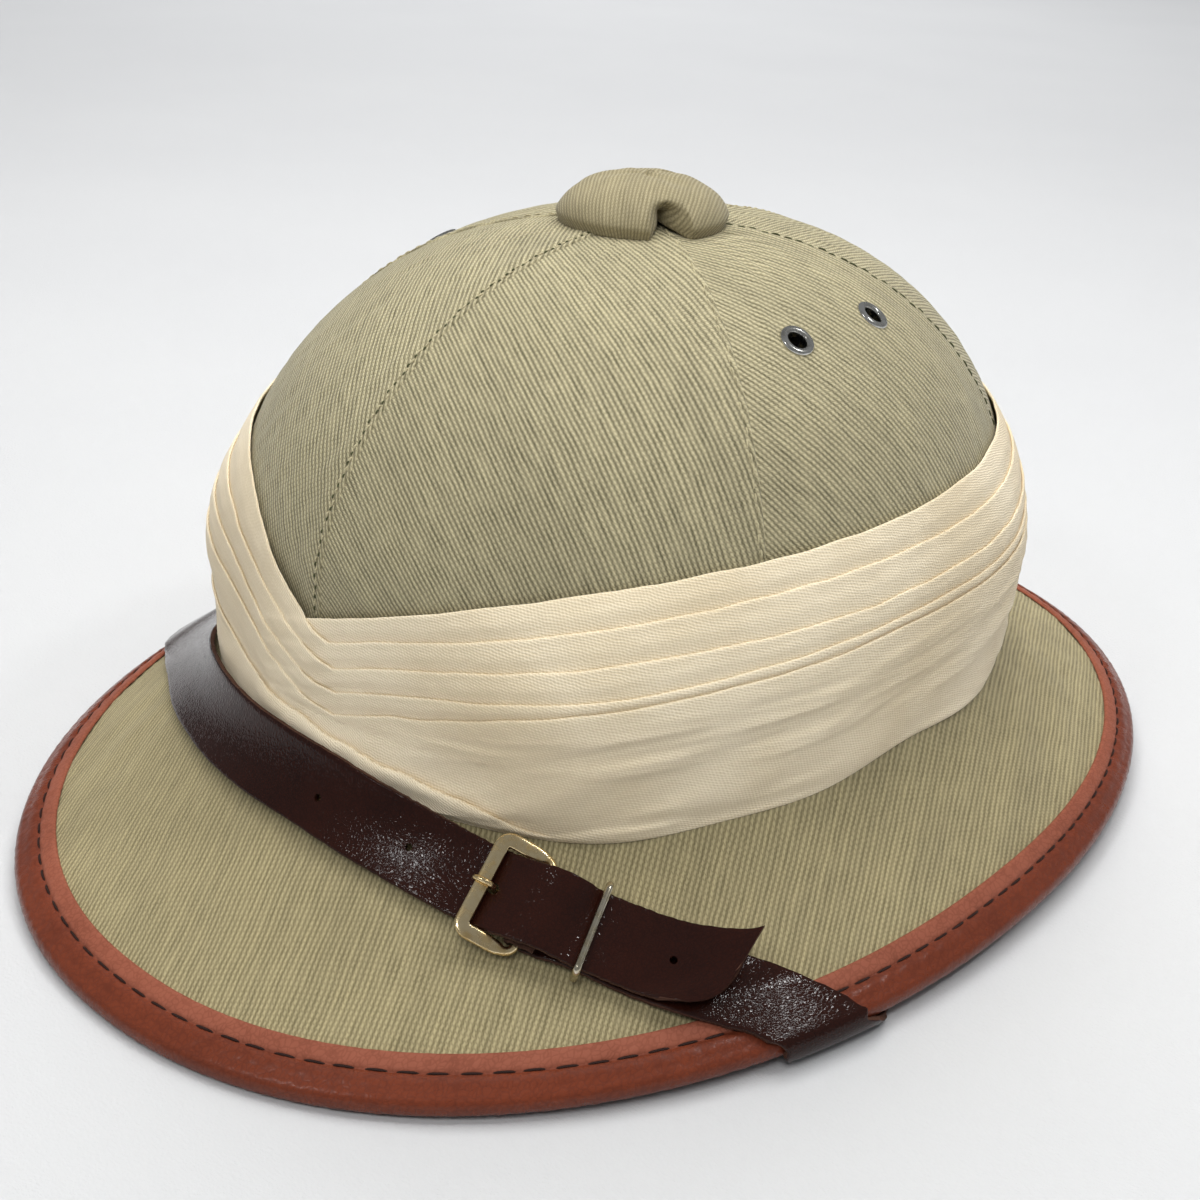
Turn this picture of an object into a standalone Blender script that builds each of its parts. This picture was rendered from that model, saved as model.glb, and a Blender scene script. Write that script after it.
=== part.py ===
"""Pith helmet: a hollow pith shell under khaki twill, with a pleated cloth band and a leather chin strap.

Metres, +Z up. The hat rests on its rim at z = 0 and faces -Y; +X is the wearer's left. The origin is under
the middle of the hat. Angles on the hat are in degrees, from the front (-Y) towards the wearer's left (+X).
"""
import math

import bmesh
import bpy
from mathutils import Matrix, Vector

# Crown: an oval wall that closes in a dome, x = width * sin(angle), y = -length * cos(angle)
CROWN_HALF_WIDTH = 0.0938
CROWN_HALF_LENGTH = 0.1121
CROWN_CENTRE_Y = -0.0020
CROWN_TOP_Z = 0.1540
DOME_START_Z = 0.0867
DOME_HEIGHT_POWER = 1.64
DOME_WIDTH_POWER = 2.48
CROWN_THICKNESS = 0.0045

# Brim: from the crown's foot down to the rim, whose front and rear rest on the table
JOIN_Z = 0.0557
RIM_HALF_WIDTH = 0.1325
RIM_HALF_LENGTH = 0.1780
RIM_CENTRE_Y = 0.0
RIM_POWER = 0.946
RIM_LOW_Z = 0.0038
RIM_SIDE_RISE = 0.0038
BRIM_THICKNESS = 0.0035
FLARE_SHARE = 0.30
FLARE_REACH = 0.07
BRIM_SAG = 0.12

# Leather binding folded over the rim
BINDING_LEATHER = 0.0010
BINDING_REACH = 0.0100

# Cloth band round the foot of the crown
BAND_THICKNESS = 0.0030
BAND_TOP_Z = 0.1060
BAND_FRONT_DIP = 0.0255
BAND_DIP_SPAN_LEFT = 40.0
BAND_DIP_SPAN_RIGHT = 17.0
BAND_DIP_POWER_RIGHT = 1.3
BAND_FOOT_REACH = 0.118
BAND_FOOT_REACH_REAR = 0.035
BAND_GAP = 0.0005
BAND_UP = (1.0, 0.86, 0.72, 0.56, 0.30, 0.06)
BAND_DOWN = (0.25, 0.6, 1.0)

# Ventilator cap on top of the crown
CAP_RADIUS = 0.0232
CAP_HEIGHT = 0.0108
CAP_EDGE_HEIGHT = 0.0046
CAP_NOTCH_DEPTH = 0.0060
CAP_NOTCH_SPAN = 10.0
CAP_NOTCH_ANGLES = (61.0, 180.0, -61.0)

# Ventilation eyelets in the side panels
EYELET_ANGLES = {"left_front": 77.4, "left_rear": 102.6, "right_front": -77.4, "right_rear": -102.6}
EYELET_Z = 0.1388
EYELET_BORE = 0.0024
EYELET_BARREL = 0.0030
EYELET_FLANGE = 0.0045
EYELET_STEPS = 12

# Chin strap of dark leather, worn over the front of the brim
STRAP_WIDTH = 0.0185
STRAP_THICKNESS = 0.0016
STRAP_HOLE_RADIUS = 0.0012
BUCKLE_LENGTH = 0.0125
BUCKLE_WIDTH = 0.0225
BUCKLE_CORNER = 0.0022
BUCKLE_RISE = 0.0026
BAR_HALF_WIDTH = 0.0015
BAR_HALF_HEIGHT = 0.0009
HINGE_RADIUS = 0.0010
PRONG_RADIUS = 0.0007
PRONG_HOLE_X = 0.0026
FOLD_BACK = 0.0045
SLOT_SIZE = (0.0066, 0.0026, 0.0070)
SLOT_SHIFT = 0.0001
WIRE_RADIUS = 0.0008
KEEPER_LIFT = 4.4
KEEPER_SLACK = 0.0005
KEEPER_SHIFT = 0.0020
KEEPER_SIDE_GAP = 0.0005
KEEPER_CORNER = 0.0013
RIVET_BORE = 0.0006
RIVET_SHANK = 0.0015
RIVET_HEAD = 0.0040
RIVET_ROW = 1.0

GAP = 0.0003
RING_STEPS = 48
CROWN_STEPS = 40
EPS = 1e-4

COLLECTION = "pith_helmet"
CUTTERS = "cutters"

# name: (colour, roughness, metallic)
FINISHES = {
    "khaki_twill": ((0.36, 0.32, 0.20), 0.90, 0.0),
    "cream_cotton": ((0.72, 0.60, 0.40), 0.92, 0.0),
    "tan_leather": ((0.27, 0.085, 0.035), 0.45, 0.0),
    "dark_leather": ((0.035, 0.013, 0.009), 0.32, 0.0),
    "nickel": ((0.62, 0.62, 0.60), 0.25, 1.0),
    "pale_brass": ((0.78, 0.62, 0.34), 0.28, 1.0),
}


# ---------------------------------------------------------------- scene and mesh helpers
def clear_scene():
    """Remove every object that the file opened with."""
    for item in list(bpy.data.objects):
        bpy.data.objects.remove(item, do_unlink=True)


def new_collection(name):
    """A collection under the scene's own."""
    group = bpy.data.collections.new(name)
    bpy.context.scene.collection.children.link(group)
    return group


def finish(name, key):
    """A Principled material of its own for one piece."""
    colour, roughness, metallic = FINISHES[key]
    made = bpy.data.materials.new(f"{name}_{key}")
    made.use_nodes = True
    shader = made.node_tree.nodes["Principled BSDF"]
    shader.inputs["Base Color"].default_value = (*colour, 1.0)
    shader.inputs["Roughness"].default_value = roughness
    shader.inputs["Metallic"].default_value = metallic
    return made


def add_object(name, mesh, key=None):
    """Link a mesh as a named piece, or as a cutter when it has no finish."""
    item = bpy.data.objects.new(name, mesh)
    if key is None:
        bpy.data.collections[CUTTERS].objects.link(item)
        item.hide_render = True
        item.display_type = "WIRE"
        return item
    bpy.data.collections[COLLECTION].objects.link(item)
    mesh.materials.append(finish(name, key))
    mesh.shade_smooth()
    mesh.set_sharp_from_angle(angle=math.radians(40.0))
    return item


def loft(name, rows, close_rows=False, close_columns=True, caps=False, tips=(False, False)):
    """Skin rows of points; a tip row shrinks to its first point. Returns a mesh with outward faces."""
    shape = bmesh.new()
    grid = []
    for index, row in enumerate(rows):
        is_tip = (index == 0 and tips[0]) or (index == len(rows) - 1 and tips[1])
        points = [row[0]] if is_tip else row
        grid.append([shape.verts.new(point) for point in points])
    pairs = list(zip(grid, grid[1:]))
    if close_rows:
        pairs.append((grid[-1], grid[0]))
    for first, second in pairs:
        count = max(len(first), len(second))
        for step in range(count if close_columns else count - 1):
            after = (step + 1) % count
            corners = [first[step % len(first)], first[after % len(first)],
                       second[after % len(second)], second[step % len(second)]]
            shape.faces.new(list(dict.fromkeys(corners)))
    if caps:
        shape.faces.new(list(reversed(grid[0])))
        shape.faces.new(grid[-1])
    bmesh.ops.recalc_face_normals(shape, faces=shape.faces)
    mesh = bpy.data.meshes.new(name)
    shape.to_mesh(mesh)
    shape.free()
    return mesh


def turned(name, profile, steps, key, place):
    """A closed profile of (radius, height) turned about its own axis and placed by a matrix."""
    mesh = bpy.data.meshes.new(name)
    count = len(profile)
    edges = [(index, (index + 1) % count) for index in range(count)]
    mesh.from_pydata([(radius, 0.0, height) for radius, height in profile], edges, [])
    item = add_object(name, mesh, key)
    screw = item.modifiers.new("turn", "SCREW")
    screw.steps = steps
    screw.render_steps = steps
    screw.use_merge_vertices = True
    screw.merge_threshold = 1e-5
    item.matrix_world = place
    return item


def drill(item, name, place, radius, length):
    """Cut a round hole through a piece along the place's own Z axis."""
    shape = bmesh.new()
    bmesh.ops.create_cone(shape, cap_ends=True, segments=12, radius1=radius, radius2=radius, depth=length)
    mesh = bpy.data.meshes.new(name)
    shape.to_mesh(mesh)
    shape.free()
    cutter = add_object(name, mesh)
    cutter.matrix_world = place
    cut(item, cutter)


def cut(item, cutter):
    """Subtract a cutter from a piece."""
    boolean = item.modifiers.new(cutter.name, "BOOLEAN")
    boolean.operation = "DIFFERENCE"
    boolean.object = cutter


def frame_matrix(origin, along, across, normal):
    """A placement whose X, Y and Z run along, across and out of a surface."""
    turn = Matrix((along, across, normal)).transposed()
    return Matrix.Translation(origin) @ turn.to_4x4()


def ramp(value, start, end):
    """A smooth rise from 0 at start to 1 at end."""
    share = min(max((value - start) / (end - start), 0.0), 1.0)
    return share * share * (3.0 - 2.0 * share)


def ring_angles(steps=RING_STEPS):
    """Evenly spaced angles round the hat, in degrees."""
    return [360.0 * step / steps for step in range(steps)]


# ---------------------------------------------------------------- the hat's surface
def crown_point(angle, height):
    """Outer face of the crown at a height above the table."""
    rise = min(max((height - DOME_START_Z) / (CROWN_TOP_Z - DOME_START_Z), 0.0), 1.0)
    share = (1.0 - rise ** DOME_HEIGHT_POWER) ** (1.0 / DOME_WIDTH_POWER)
    turn = math.radians(angle)
    return Vector((CROWN_HALF_WIDTH * math.sin(turn) * share,
                   -CROWN_HALF_LENGTH * math.cos(turn) * share + CROWN_CENTRE_Y, height))


def rim_point(angle):
    """Top edge of the brim at the rim, before the binding."""
    turn = math.radians(angle)
    side, ahead = math.sin(turn), math.cos(turn)
    return Vector((RIM_HALF_WIDTH * math.copysign(abs(side) ** RIM_POWER, side),
                   -RIM_HALF_LENGTH * math.copysign(abs(ahead) ** RIM_POWER, ahead) + RIM_CENTRE_Y,
                   RIM_LOW_Z + RIM_SIDE_RISE * side * side))


def brim_point(angle, reach):
    """Top face of the brim; reach runs from 0 at the crown's foot to 1 at the rim."""
    foot = crown_point(angle, JOIN_Z)
    rim = rim_point(angle)
    flare = FLARE_SHARE * math.exp(-reach / FLARE_REACH)
    slope = (1.0 - FLARE_SHARE) * (1.0 - reach) * (1.0 - BRIM_SAG * reach)
    point = foot.lerp(rim, reach)
    point.z = rim.z + (JOIN_Z - rim.z) * (flare + slope)
    return point


def skin_frame(angle, reach):
    """Point, outward normal and downhill direction on the hat; a reach below 0 is metres up the crown."""
    if reach < 0.0:
        def place(turn, run):
            return crown_point(turn, JOIN_Z - run)
    else:
        place = brim_point
    step = -EPS if reach < 0.0 else EPS
    here = place(angle, reach)
    downhill = (place(angle, reach + abs(step)) - place(angle, reach - EPS)).normalized()
    sideways = (place(angle + 0.05, reach) - place(angle - 0.05, reach)).normalized()
    normal = sideways.cross(downhill)
    if normal.z < -0.2 or normal.dot(Vector((here.x, here.y - CROWN_CENTRE_Y, 0.0))) < 0.0:
        normal.negate()
    return here, normal.normalized(), downhill


def skin(angle, reach, offset):
    """A point at an offset from the hat's outer face."""
    here, normal, _ = skin_frame(angle, reach)
    return here + normal * offset


def binding_lift(reach):
    """How far the binding stands off the brim under whatever lies over it."""
    return (GAP + BINDING_LEATHER) * ramp(reach, 0.66, 0.79)


def wrap(angle, reach, offset):
    """A point over the brim (reach to 1), round the bound rim (1 to 2) or under the brim (2 to 3)."""
    if reach <= 1.0:
        return skin(angle, reach, offset + binding_lift(reach))
    if reach >= 2.0:
        inward = 3.0 - reach
        return skin(angle, inward, -BRIM_THICKNESS - offset - binding_lift(inward))
    here, normal, downhill = skin_frame(angle, 1.0)
    radius = BRIM_THICKNESS / 2 + GAP + BINDING_LEATHER + offset
    centre = here - normal * (BRIM_THICKNESS / 2)
    turn = (reach - 1.0) * math.pi
    return centre + (normal * math.cos(turn) + downhill * math.sin(turn)) * radius


# ---------------------------------------------------------------- shell, binding, cap and band
def build_crown():
    """The domed crown, an open shell with thickness, drilled for its four eyelets."""
    wall = [JOIN_Z + GAP / 2, 0.066, 0.077, DOME_START_Z]
    dome_rows = 10
    heights = list(wall)
    for row in range(1, dome_rows + 1):
        turn = math.pi / 2 * row / dome_rows
        rise = math.sin(turn) ** (2.0 / DOME_HEIGHT_POWER)
        heights.append(DOME_START_Z + (CROWN_TOP_Z - DOME_START_Z) * rise)
    rows = [[crown_point(angle, height) for angle in ring_angles(CROWN_STEPS)] for height in heights]
    crown = add_object("crown", loft("crown", rows, tips=(False, True)), "khaki_twill")
    shell = crown.modifiers.new("thickness", "SOLIDIFY")
    shell.thickness = CROWN_THICKNESS
    shell.offset = -1.0
    for name, angle in EYELET_ANGLES.items():
        drill(crown, f"hole_{name}", crown_frame(angle, EYELET_Z), EYELET_BARREL + GAP, 0.03)
    return crown


def crown_frame(angle, height):
    """Placement on the crown's outer face, Z pointing out."""
    here = crown_point(angle, height)
    sideways = (crown_point(angle + 0.05, height) - crown_point(angle - 0.05, height)).normalized()
    uphill = (crown_point(angle, height + EPS) - crown_point(angle, height - EPS)).normalized()
    normal = sideways.cross(uphill).normalized()
    if normal.dot(Vector((here.x, here.y - CROWN_CENTRE_Y, 0.02))) < 0.0:
        normal.negate()
    return frame_matrix(here, sideways, normal.cross(sideways), normal)


def build_brim():
    """The brim, an open shell with thickness from the crown's foot to the rim."""
    reaches = [0.0, 0.04, 0.09, 0.16, 0.28, 0.50, 0.76, 0.90, 1.0]
    rows = [[brim_point(angle, reach) for angle in ring_angles()] for reach in reaches]
    for point in rows[0]:
        point.z -= GAP / 2
    brim = add_object("brim", loft("brim", rows), "khaki_twill")
    shell = brim.modifiers.new("thickness", "SOLIDIFY")
    shell.thickness = BRIM_THICKNESS
    shell.offset = -1.0
    shell.use_even_offset = True
    return brim


def binding_section(angle):
    """The binding's closed section at one angle: out over the rim and back, then the slot for the brim."""
    run = (brim_point(angle, 1.0) - brim_point(angle, 0.8)).length / 0.2
    inner = 1.0 - BINDING_REACH / run
    middle = (1.0 + inner) / 2
    outside = GAP + BINDING_LEATHER
    points = [skin(angle, reach, outside) for reach in (inner, middle)]
    points += [wrap(angle, 1.0 + turn / 6, 0.0) for turn in range(7)]
    points += [skin(angle, reach, -BRIM_THICKNESS - outside) for reach in (middle, inner)]
    points += [skin(angle, reach, -BRIM_THICKNESS - GAP) for reach in (inner, middle, 1.0)]
    here, normal, downhill = skin_frame(angle, 1.0)
    points += [here + downhill * GAP - normal * (BRIM_THICKNESS + GAP), here + downhill * GAP + normal * GAP]
    points += [skin(angle, reach, GAP) for reach in (1.0, middle, inner)]
    for point in points:
        point.z = max(point.z, 0.0)
    return points


def build_binding():
    """The folded leather round the rim, pressed flat where the hat rests on it."""
    rows = [binding_section(angle) for angle in ring_angles()]
    return add_object("rim_binding", loft("rim_binding", rows, close_rows=True), "tan_leather")


def band_top(angle):
    """Height of the cloth band's upper edge: high round the back, dipping to a V over the front seam."""
    turn = (angle + 180.0) % 360.0 - 180.0
    if turn >= 0.0:
        dip = math.exp(-turn / BAND_DIP_SPAN_LEFT)
    else:
        dip = math.exp(-(-turn / BAND_DIP_SPAN_RIGHT) ** BAND_DIP_POWER_RIGHT)
    return BAND_TOP_Z - BAND_FRONT_DIP * dip


def band_foot(angle):
    """Reach of the cloth band's lower edge on the brim."""
    rear = (1.0 - math.cos(math.radians(angle))) / 2
    return BAND_FOOT_REACH + BAND_FOOT_REACH_REAR * rear ** 3


def build_band():
    """The cloth band, one soft ring that lies against the crown and the flare of the brim."""
    rows = []
    for angle in ring_angles():
        top = band_top(angle) - JOIN_Z
        foot = band_foot(angle)
        stations = [-top * share for share in BAND_UP] + [foot * share for share in BAND_DOWN]
        outer = [skin(angle, station, BAND_GAP + BAND_THICKNESS) for station in stations]
        inner = [skin(angle, station, BAND_GAP) for station in reversed(stations)]
        rows.append(outer + inner)
    return add_object("puggaree", loft("puggaree", rows, close_rows=True), "cream_cotton")


def cap_radius(angle):
    """Outline of the ventilator cap, pinched in at its notches."""
    pinch = 0.0
    for notch in CAP_NOTCH_ANGLES:
        away = (angle - notch + 180.0) % 360.0 - 180.0
        pinch += math.exp(-(away / CAP_NOTCH_SPAN) ** 2)
    return CAP_RADIUS - CAP_NOTCH_DEPTH * pinch


def crown_height_at(x, y):
    """Height of the crown's outer face over a point near its middle."""
    share = math.hypot(x / CROWN_HALF_WIDTH, (y - CROWN_CENTRE_Y) / CROWN_HALF_LENGTH)
    rise = (1.0 - share ** DOME_WIDTH_POWER) ** (1.0 / DOME_HEIGHT_POWER)
    return DOME_START_Z + (CROWN_TOP_Z - DOME_START_Z) * rise


def build_cap():
    """The padded ventilator cap that sits on the top of the crown."""
    def row(share, lift):
        points = []
        for angle in ring_angles():
            turn = math.radians(angle)
            radius = cap_radius(angle) * share
            x, y = radius * math.sin(turn), -radius * math.cos(turn) + CROWN_CENTRE_Y
            points.append(Vector((x, y, crown_height_at(x, y) + lift)))
        return points
    rows = [row(0.0, CAP_HEIGHT)]
    for share in (0.25, 0.5, 0.72, 0.88):
        rows.append(row(share, CAP_EDGE_HEIGHT + (CAP_HEIGHT - CAP_EDGE_HEIGHT) * (1.0 - share ** 2.4)))
    rows += [row(0.975, CAP_EDGE_HEIGHT * 0.72), row(1.0, CAP_EDGE_HEIGHT * 0.36), row(0.965, GAP)]
    rows += [row(0.5, GAP), row(0.0, GAP)]
    return add_object("vent_cap", loft("vent_cap", rows, tips=(True, True)), "khaki_twill")


def build_eyelets():
    """Four nickel eyelets: a rolled flange outside, a barrel through the shell and a flange inside."""
    inside = -CROWN_THICKNESS - 2 * GAP
    profile = [(EYELET_BORE, 0.0010), (0.0029, 0.0013), (0.0037, 0.0012), (EYELET_FLANGE, 0.0007),
               (EYELET_FLANGE, GAP), (EYELET_BARREL, GAP), (EYELET_BARREL, inside), (EYELET_FLANGE, inside),
               (EYELET_FLANGE, inside - 0.0006), (EYELET_BORE, inside - 0.0006)]
    for name, angle in EYELET_ANGLES.items():
        turned(f"eyelet_{name}", profile, EYELET_STEPS, "nickel", crown_frame(angle, EYELET_Z))


# ---------------------------------------------------------------- chin strap
STRAP_GAP = 0.0005
STRAP_MID = STRAP_GAP + STRAP_THICKNESS / 2
BUCKLE_INDEX = 17
HINGE_INDEX = 18
KEEPER_INDEX = 20
HOLE_ROWS = (14.25, 15.65, 22.0)

# (upper edge: angle, reach, lift) (lower edge: angle, reach, lift) from the hidden end on the wearer's right,
# round the rim, across the front, through the buckle to the free end
LONG_STRAP = (
    ((-106.0, 2.80, 0.0), (-93.0, 2.84, 0.0)),
    ((-97.0, 2.52, 0.0), (-85.5, 2.52, 0.0)),
    ((-89.0, 2.20, 0.0), (-79.0, 2.18, 0.0)),
    ((-84.0, 2.00, 0.0), (-74.5, 2.00, 0.0)),
    ((-82.7, 1.75, 0.0), (-73.2, 1.75, 0.0)),
    ((-81.5, 1.50, 0.0), (-72.0, 1.50, 0.0)),
    ((-80.2, 1.25, 0.0), (-70.7, 1.25, 0.0)),
    ((-79.0, 1.00, 0.0), (-69.5, 1.00, 0.0)),
    ((-72.0, 0.78, 0.0), (-66.5, 0.86, 0.0)),
    ((-64.0, 0.53, 0.0), (-61.5, 0.74, 0.0)),
    ((-53.0, 0.31, 0.8), (-53.5, 0.53, 0.2)),
    ((-42.0, 0.175, 2.7), (-42.5, 0.345, 1.0)),
    ((-28.0, 0.09, 4.0), (-28.0, 0.255, 1.8)),
    ((-14.0, 0.06, 4.3), (-14.0, 0.22, 2.1)),
    ((3.5, 0.05, 4.3), (3.5, 0.22, 2.1)),
    ((16.0, 0.075, 4.2), (15.5, 0.27, 1.7)),
    ((24.5, 0.11, 3.9), (23.5, 0.335, 1.3)),
    ((32.3, 0.172, 3.4), (30.8, 0.415, 2.1)),
    ((38.6, 0.25, 7.9), (36.8, 0.488, 6.3)),
    ((41.5, 0.29, 7.9), (39.5, 0.520, 6.6)),
    ((44.5, 0.335, 4.4), (42.3, 0.555, 4.4)),
    ((49.0, 0.41, 4.1), (46.6, 0.625, 3.4)),
    ((54.0, 0.505, 5.8), (51.3, 0.72, 3.4)),
    ((58.8, 0.585, 8.8), (55.6, 0.80, 4.4)),
    ((60.6, 0.610, 10.4), (57.4, 0.82, 5.4)),
)

# The buckle's own strap, from the hidden end on the wearer's left, round the rim and back to the hinge bar
SHORT_STRAP = (
    ((97.5, 2.80, 0.0), (84.5, 2.84, 0.0)),
    ((88.5, 2.52, 0.0), (77.0, 2.52, 0.0)),
    ((80.5, 2.20, 0.0), (70.5, 2.18, 0.0)),
    ((75.5, 2.00, 0.0), (66.0, 2.00, 0.0)),
    ((74.2, 1.75, 0.0), (64.7, 1.75, 0.0)),
    ((73.0, 1.50, 0.0), (63.5, 1.50, 0.0)),
    ((71.7, 1.25, 0.0), (62.2, 1.25, 0.0)),
    ((70.5, 1.00, 0.0), (61.0, 1.00, 0.0)),
    ((62.5, 0.72, 0.0), (58.5, 0.88, 0.0)),
    ((55.5, 0.545, 0.0), (53.0, 0.76, 0.0)),
    ((49.0, 0.41, 0.8), (46.6, 0.63, 0.8)),
    ((44.5, 0.335, 1.9), (42.3, 0.555, 1.9)),
    ((41.5, 0.29, 1.7), (39.5, 0.520, 0.6)),
)


def smooth_rows(table, pieces):
    """A Catmull-Rom curve through the rows of a strap table, as many pieces between each two rows."""
    rows = [[value for edge in row for value in edge] for row in table]
    rows = [rows[0]] + rows + [rows[-1]]
    made = []
    for index in range(1, len(rows) - 2):
        before, start, end, after = rows[index - 1:index + 3]
        for piece in range(pieces):
            made.append([catmull(*values, piece / pieces) for values in zip(before, start, end, after)])
    return made + [rows[-1]]


def catmull(before, start, end, after, share):
    """One value of a Catmull-Rom curve."""
    squared, cubed = share * share, share ** 3
    return 0.5 * (2 * start + (end - before) * share
                  + (2 * before - 5 * start + 4 * end - after) * squared
                  + (3 * start - before - 3 * end + after) * cubed)


def strap_lines(table, pieces=2):
    """Mid-thickness points across a strap, from its upper edge to its lower, along its route."""
    routes = smooth_rows(table, pieces)
    middles = [strap_line(values, 1.0)[1] for values in routes]
    lines = []
    for index, values in enumerate(routes):
        upper, _, lower = strap_line(values, 1.0)
        travel = (middles[min(index + 1, len(middles) - 1)] - middles[max(index - 1, 0)]).normalized()
        width = (lower - upper).cross(travel).length
        lines.append(strap_line(values, STRAP_WIDTH / width))
    return lines


def strap_line(values, spread):
    """Three points across a strap, whose table edges are spread about its middle."""
    upper, lower = values[:3], values[3:]
    line = []
    for side in (-0.5, 0.0, 0.5):
        share = 0.5 + side * spread
        angle, reach, lift = (low * share + high * (1.0 - share) for high, low in zip(upper, lower))
        line.append(wrap(angle, reach, STRAP_MID + max(lift, 0.0) / 1000))
    return line


def strap_mesh(name, lines):
    """A leather strip of one thickness along lines of points across it."""
    rows = []
    for index, line in enumerate(lines):
        before, after = lines[max(index - 1, 0)], lines[min(index + 1, len(lines) - 1)]
        travel = (after[1] - before[1]).normalized()
        normal = travel.cross(line[-1] - line[0]).normalized() * (STRAP_THICKNESS / 2)
        rows.append([point + normal for point in line] + [point - normal for point in reversed(line)])
    return loft(name, rows, caps=True)


def edge_points(row, upper_lift, lower_lift):
    """Upper and lower edge of a strap row at given lifts in millimetres."""
    (upper_angle, upper_reach, _), (lower_angle, lower_reach, _) = row
    upper = wrap(upper_angle, upper_reach, STRAP_MID + upper_lift / 1000)
    lower = wrap(lower_angle, lower_reach, STRAP_MID + lower_lift / 1000)
    return upper, lower


def plane_frame(start, end, upper, lower):
    """Placement at start: X towards end, Y from the upper edge to the lower, Z off the hat."""
    along = (end - start).normalized()
    across = lower - upper
    across = (across - along * across.dot(along)).normalized()
    normal = along.cross(across)
    if normal.z < 0.0:
        normal.negate()
    return frame_matrix(start, along, across, normal)


def buckle_frame_matrix():
    """Placement of the buckle: the origin is in the strap's mid-thickness under the frame's free bar."""
    free_row, hinge_row = LONG_STRAP[BUCKLE_INDEX], LONG_STRAP[HINGE_INDEX]
    lifts = (free_row[0][2], free_row[1][2])
    upper, lower = edge_points(free_row, *lifts)
    hinge_upper, hinge_lower = edge_points(hinge_row, *lifts)
    return plane_frame((upper + lower) / 2, (hinge_upper + hinge_lower) / 2, upper + hinge_upper,
                       lower + hinge_lower)


def keeper_matrix():
    """Placement of the keeper: the origin is on the brim's face under the middle of the straps."""
    row, after = LONG_STRAP[KEEPER_INDEX], LONG_STRAP[KEEPER_INDEX + 1]
    upper, lower = edge_points(row, -STRAP_MID * 1000, -STRAP_MID * 1000)
    next_upper, next_lower = edge_points(after, -STRAP_MID * 1000, -STRAP_MID * 1000)
    start = plane_frame((upper + lower) / 2, (next_upper + next_lower) / 2, upper, lower)
    return start @ Matrix.Translation((KEEPER_SHIFT, 0.0, 0.0))


def rounded_loop(half_x, half_y, radius, steps):
    """Points of a rounded rectangle about the origin, anticlockwise from the +X side."""
    points = []
    for corner, (side_x, side_y) in enumerate(((1, 1), (-1, 1), (-1, -1), (1, -1))):
        for step in range(steps + 1):
            turn = math.pi / 2 * (corner + step / steps)
            points.append((side_x * (half_x - radius) + radius * math.cos(turn),
                           side_y * (half_y - radius) + radius * math.sin(turn)))
    return points


def build_buckle_frame(place):
    """Brass frame: a broad free bar over the strap and arms that slope down to a thin hinge bar."""
    rows = []
    path = rounded_loop(BUCKLE_LENGTH / 2, BUCKLE_WIDTH / 2, BUCKLE_CORNER, 3)
    count = len(path)
    for index, (x, y) in enumerate(path):
        before, after = path[index - 1], path[(index + 1) % count]
        travel = Vector((after[0] - before[0], after[1] - before[1], 0.0)).normalized()
        side = Vector((travel.y, -travel.x, 0.0))
        share = ramp(x + BUCKLE_LENGTH / 2, 0.0, BUCKLE_LENGTH)
        centre = Vector((x + BUCKLE_LENGTH / 2, y, BUCKLE_RISE * (1.0 - share)))
        thin = ramp(share, 0.75, 1.0)
        half_width = BAR_HALF_WIDTH + (HINGE_RADIUS - BAR_HALF_WIDTH) * thin
        half_height = BAR_HALF_HEIGHT + (HINGE_RADIUS - BAR_HALF_HEIGHT) * thin
        row = []
        for step in range(8):
            turn = math.pi / 4 * (step + 0.5)
            row.append(centre + side * half_width * math.cos(turn) / math.cos(math.pi / 8)
                       + Vector((0.0, 0.0, half_height * math.sin(turn) / math.cos(math.pi / 8))))
        rows.append(row)
    frame = add_object("buckle_frame", loft("buckle_frame", rows, close_rows=True), "pale_brass")
    frame.matrix_world = place
    return frame


def wire(name, points, radius, key, place, cyclic=False):
    """A round wire along points, as a curve with a bevel and filled ends."""
    curve = bpy.data.curves.new(name, "CURVE")
    curve.dimensions = "3D"
    curve.bevel_depth = radius
    curve.bevel_resolution = 1
    curve.use_fill_caps = True
    spline = curve.splines.new("POLY")
    spline.points.add(len(points) - 1)
    for slot, point in zip(spline.points, points):
        slot.co = (*point, 1.0)
    spline.use_cyclic_u = cyclic
    item = bpy.data.objects.new(name, curve)
    bpy.data.collections[COLLECTION].objects.link(item)
    curve.materials.append(finish(name, key))
    item.matrix_world = place
    return item


def build_prong(place):
    """The prong: a ring round the hinge bar, a shank under the strap, up through a hole and over the free bar."""
    ring = HINGE_RADIUS + GAP + PRONG_RADIUS
    over = BUCKLE_RISE + BAR_HALF_HEIGHT + GAP + PRONG_RADIUS
    points = []
    for turn in range(-120, 91, 30):
        points.append((BUCKLE_LENGTH + ring * math.cos(math.radians(turn)), 0.0,
                       ring * math.sin(math.radians(turn))))
    points += [(BUCKLE_LENGTH - 0.0018, 0.0, 0.0014), (BUCKLE_LENGTH - 0.0038, 0.0, 0.0004),
               (BUCKLE_LENGTH - 0.0062, 0.0, -0.0006), (PRONG_HOLE_X + 0.0016, 0.0, -0.0013),
               (PRONG_HOLE_X + 0.0003, 0.0, -0.0008), (PRONG_HOLE_X, 0.0, 0.0004),
               (PRONG_HOLE_X, 0.0, BUCKLE_RISE), (PRONG_HOLE_X - 0.0006, 0.0, over - 0.0006),
               (PRONG_HOLE_X - 0.0018, 0.0, over), (0.0, 0.0, over), (-0.0014, 0.0, over - 0.0003),
               (-0.0025, 0.0, over - 0.0014)]
    return wire("buckle_prong", points, PRONG_RADIUS, "pale_brass", place)


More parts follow.
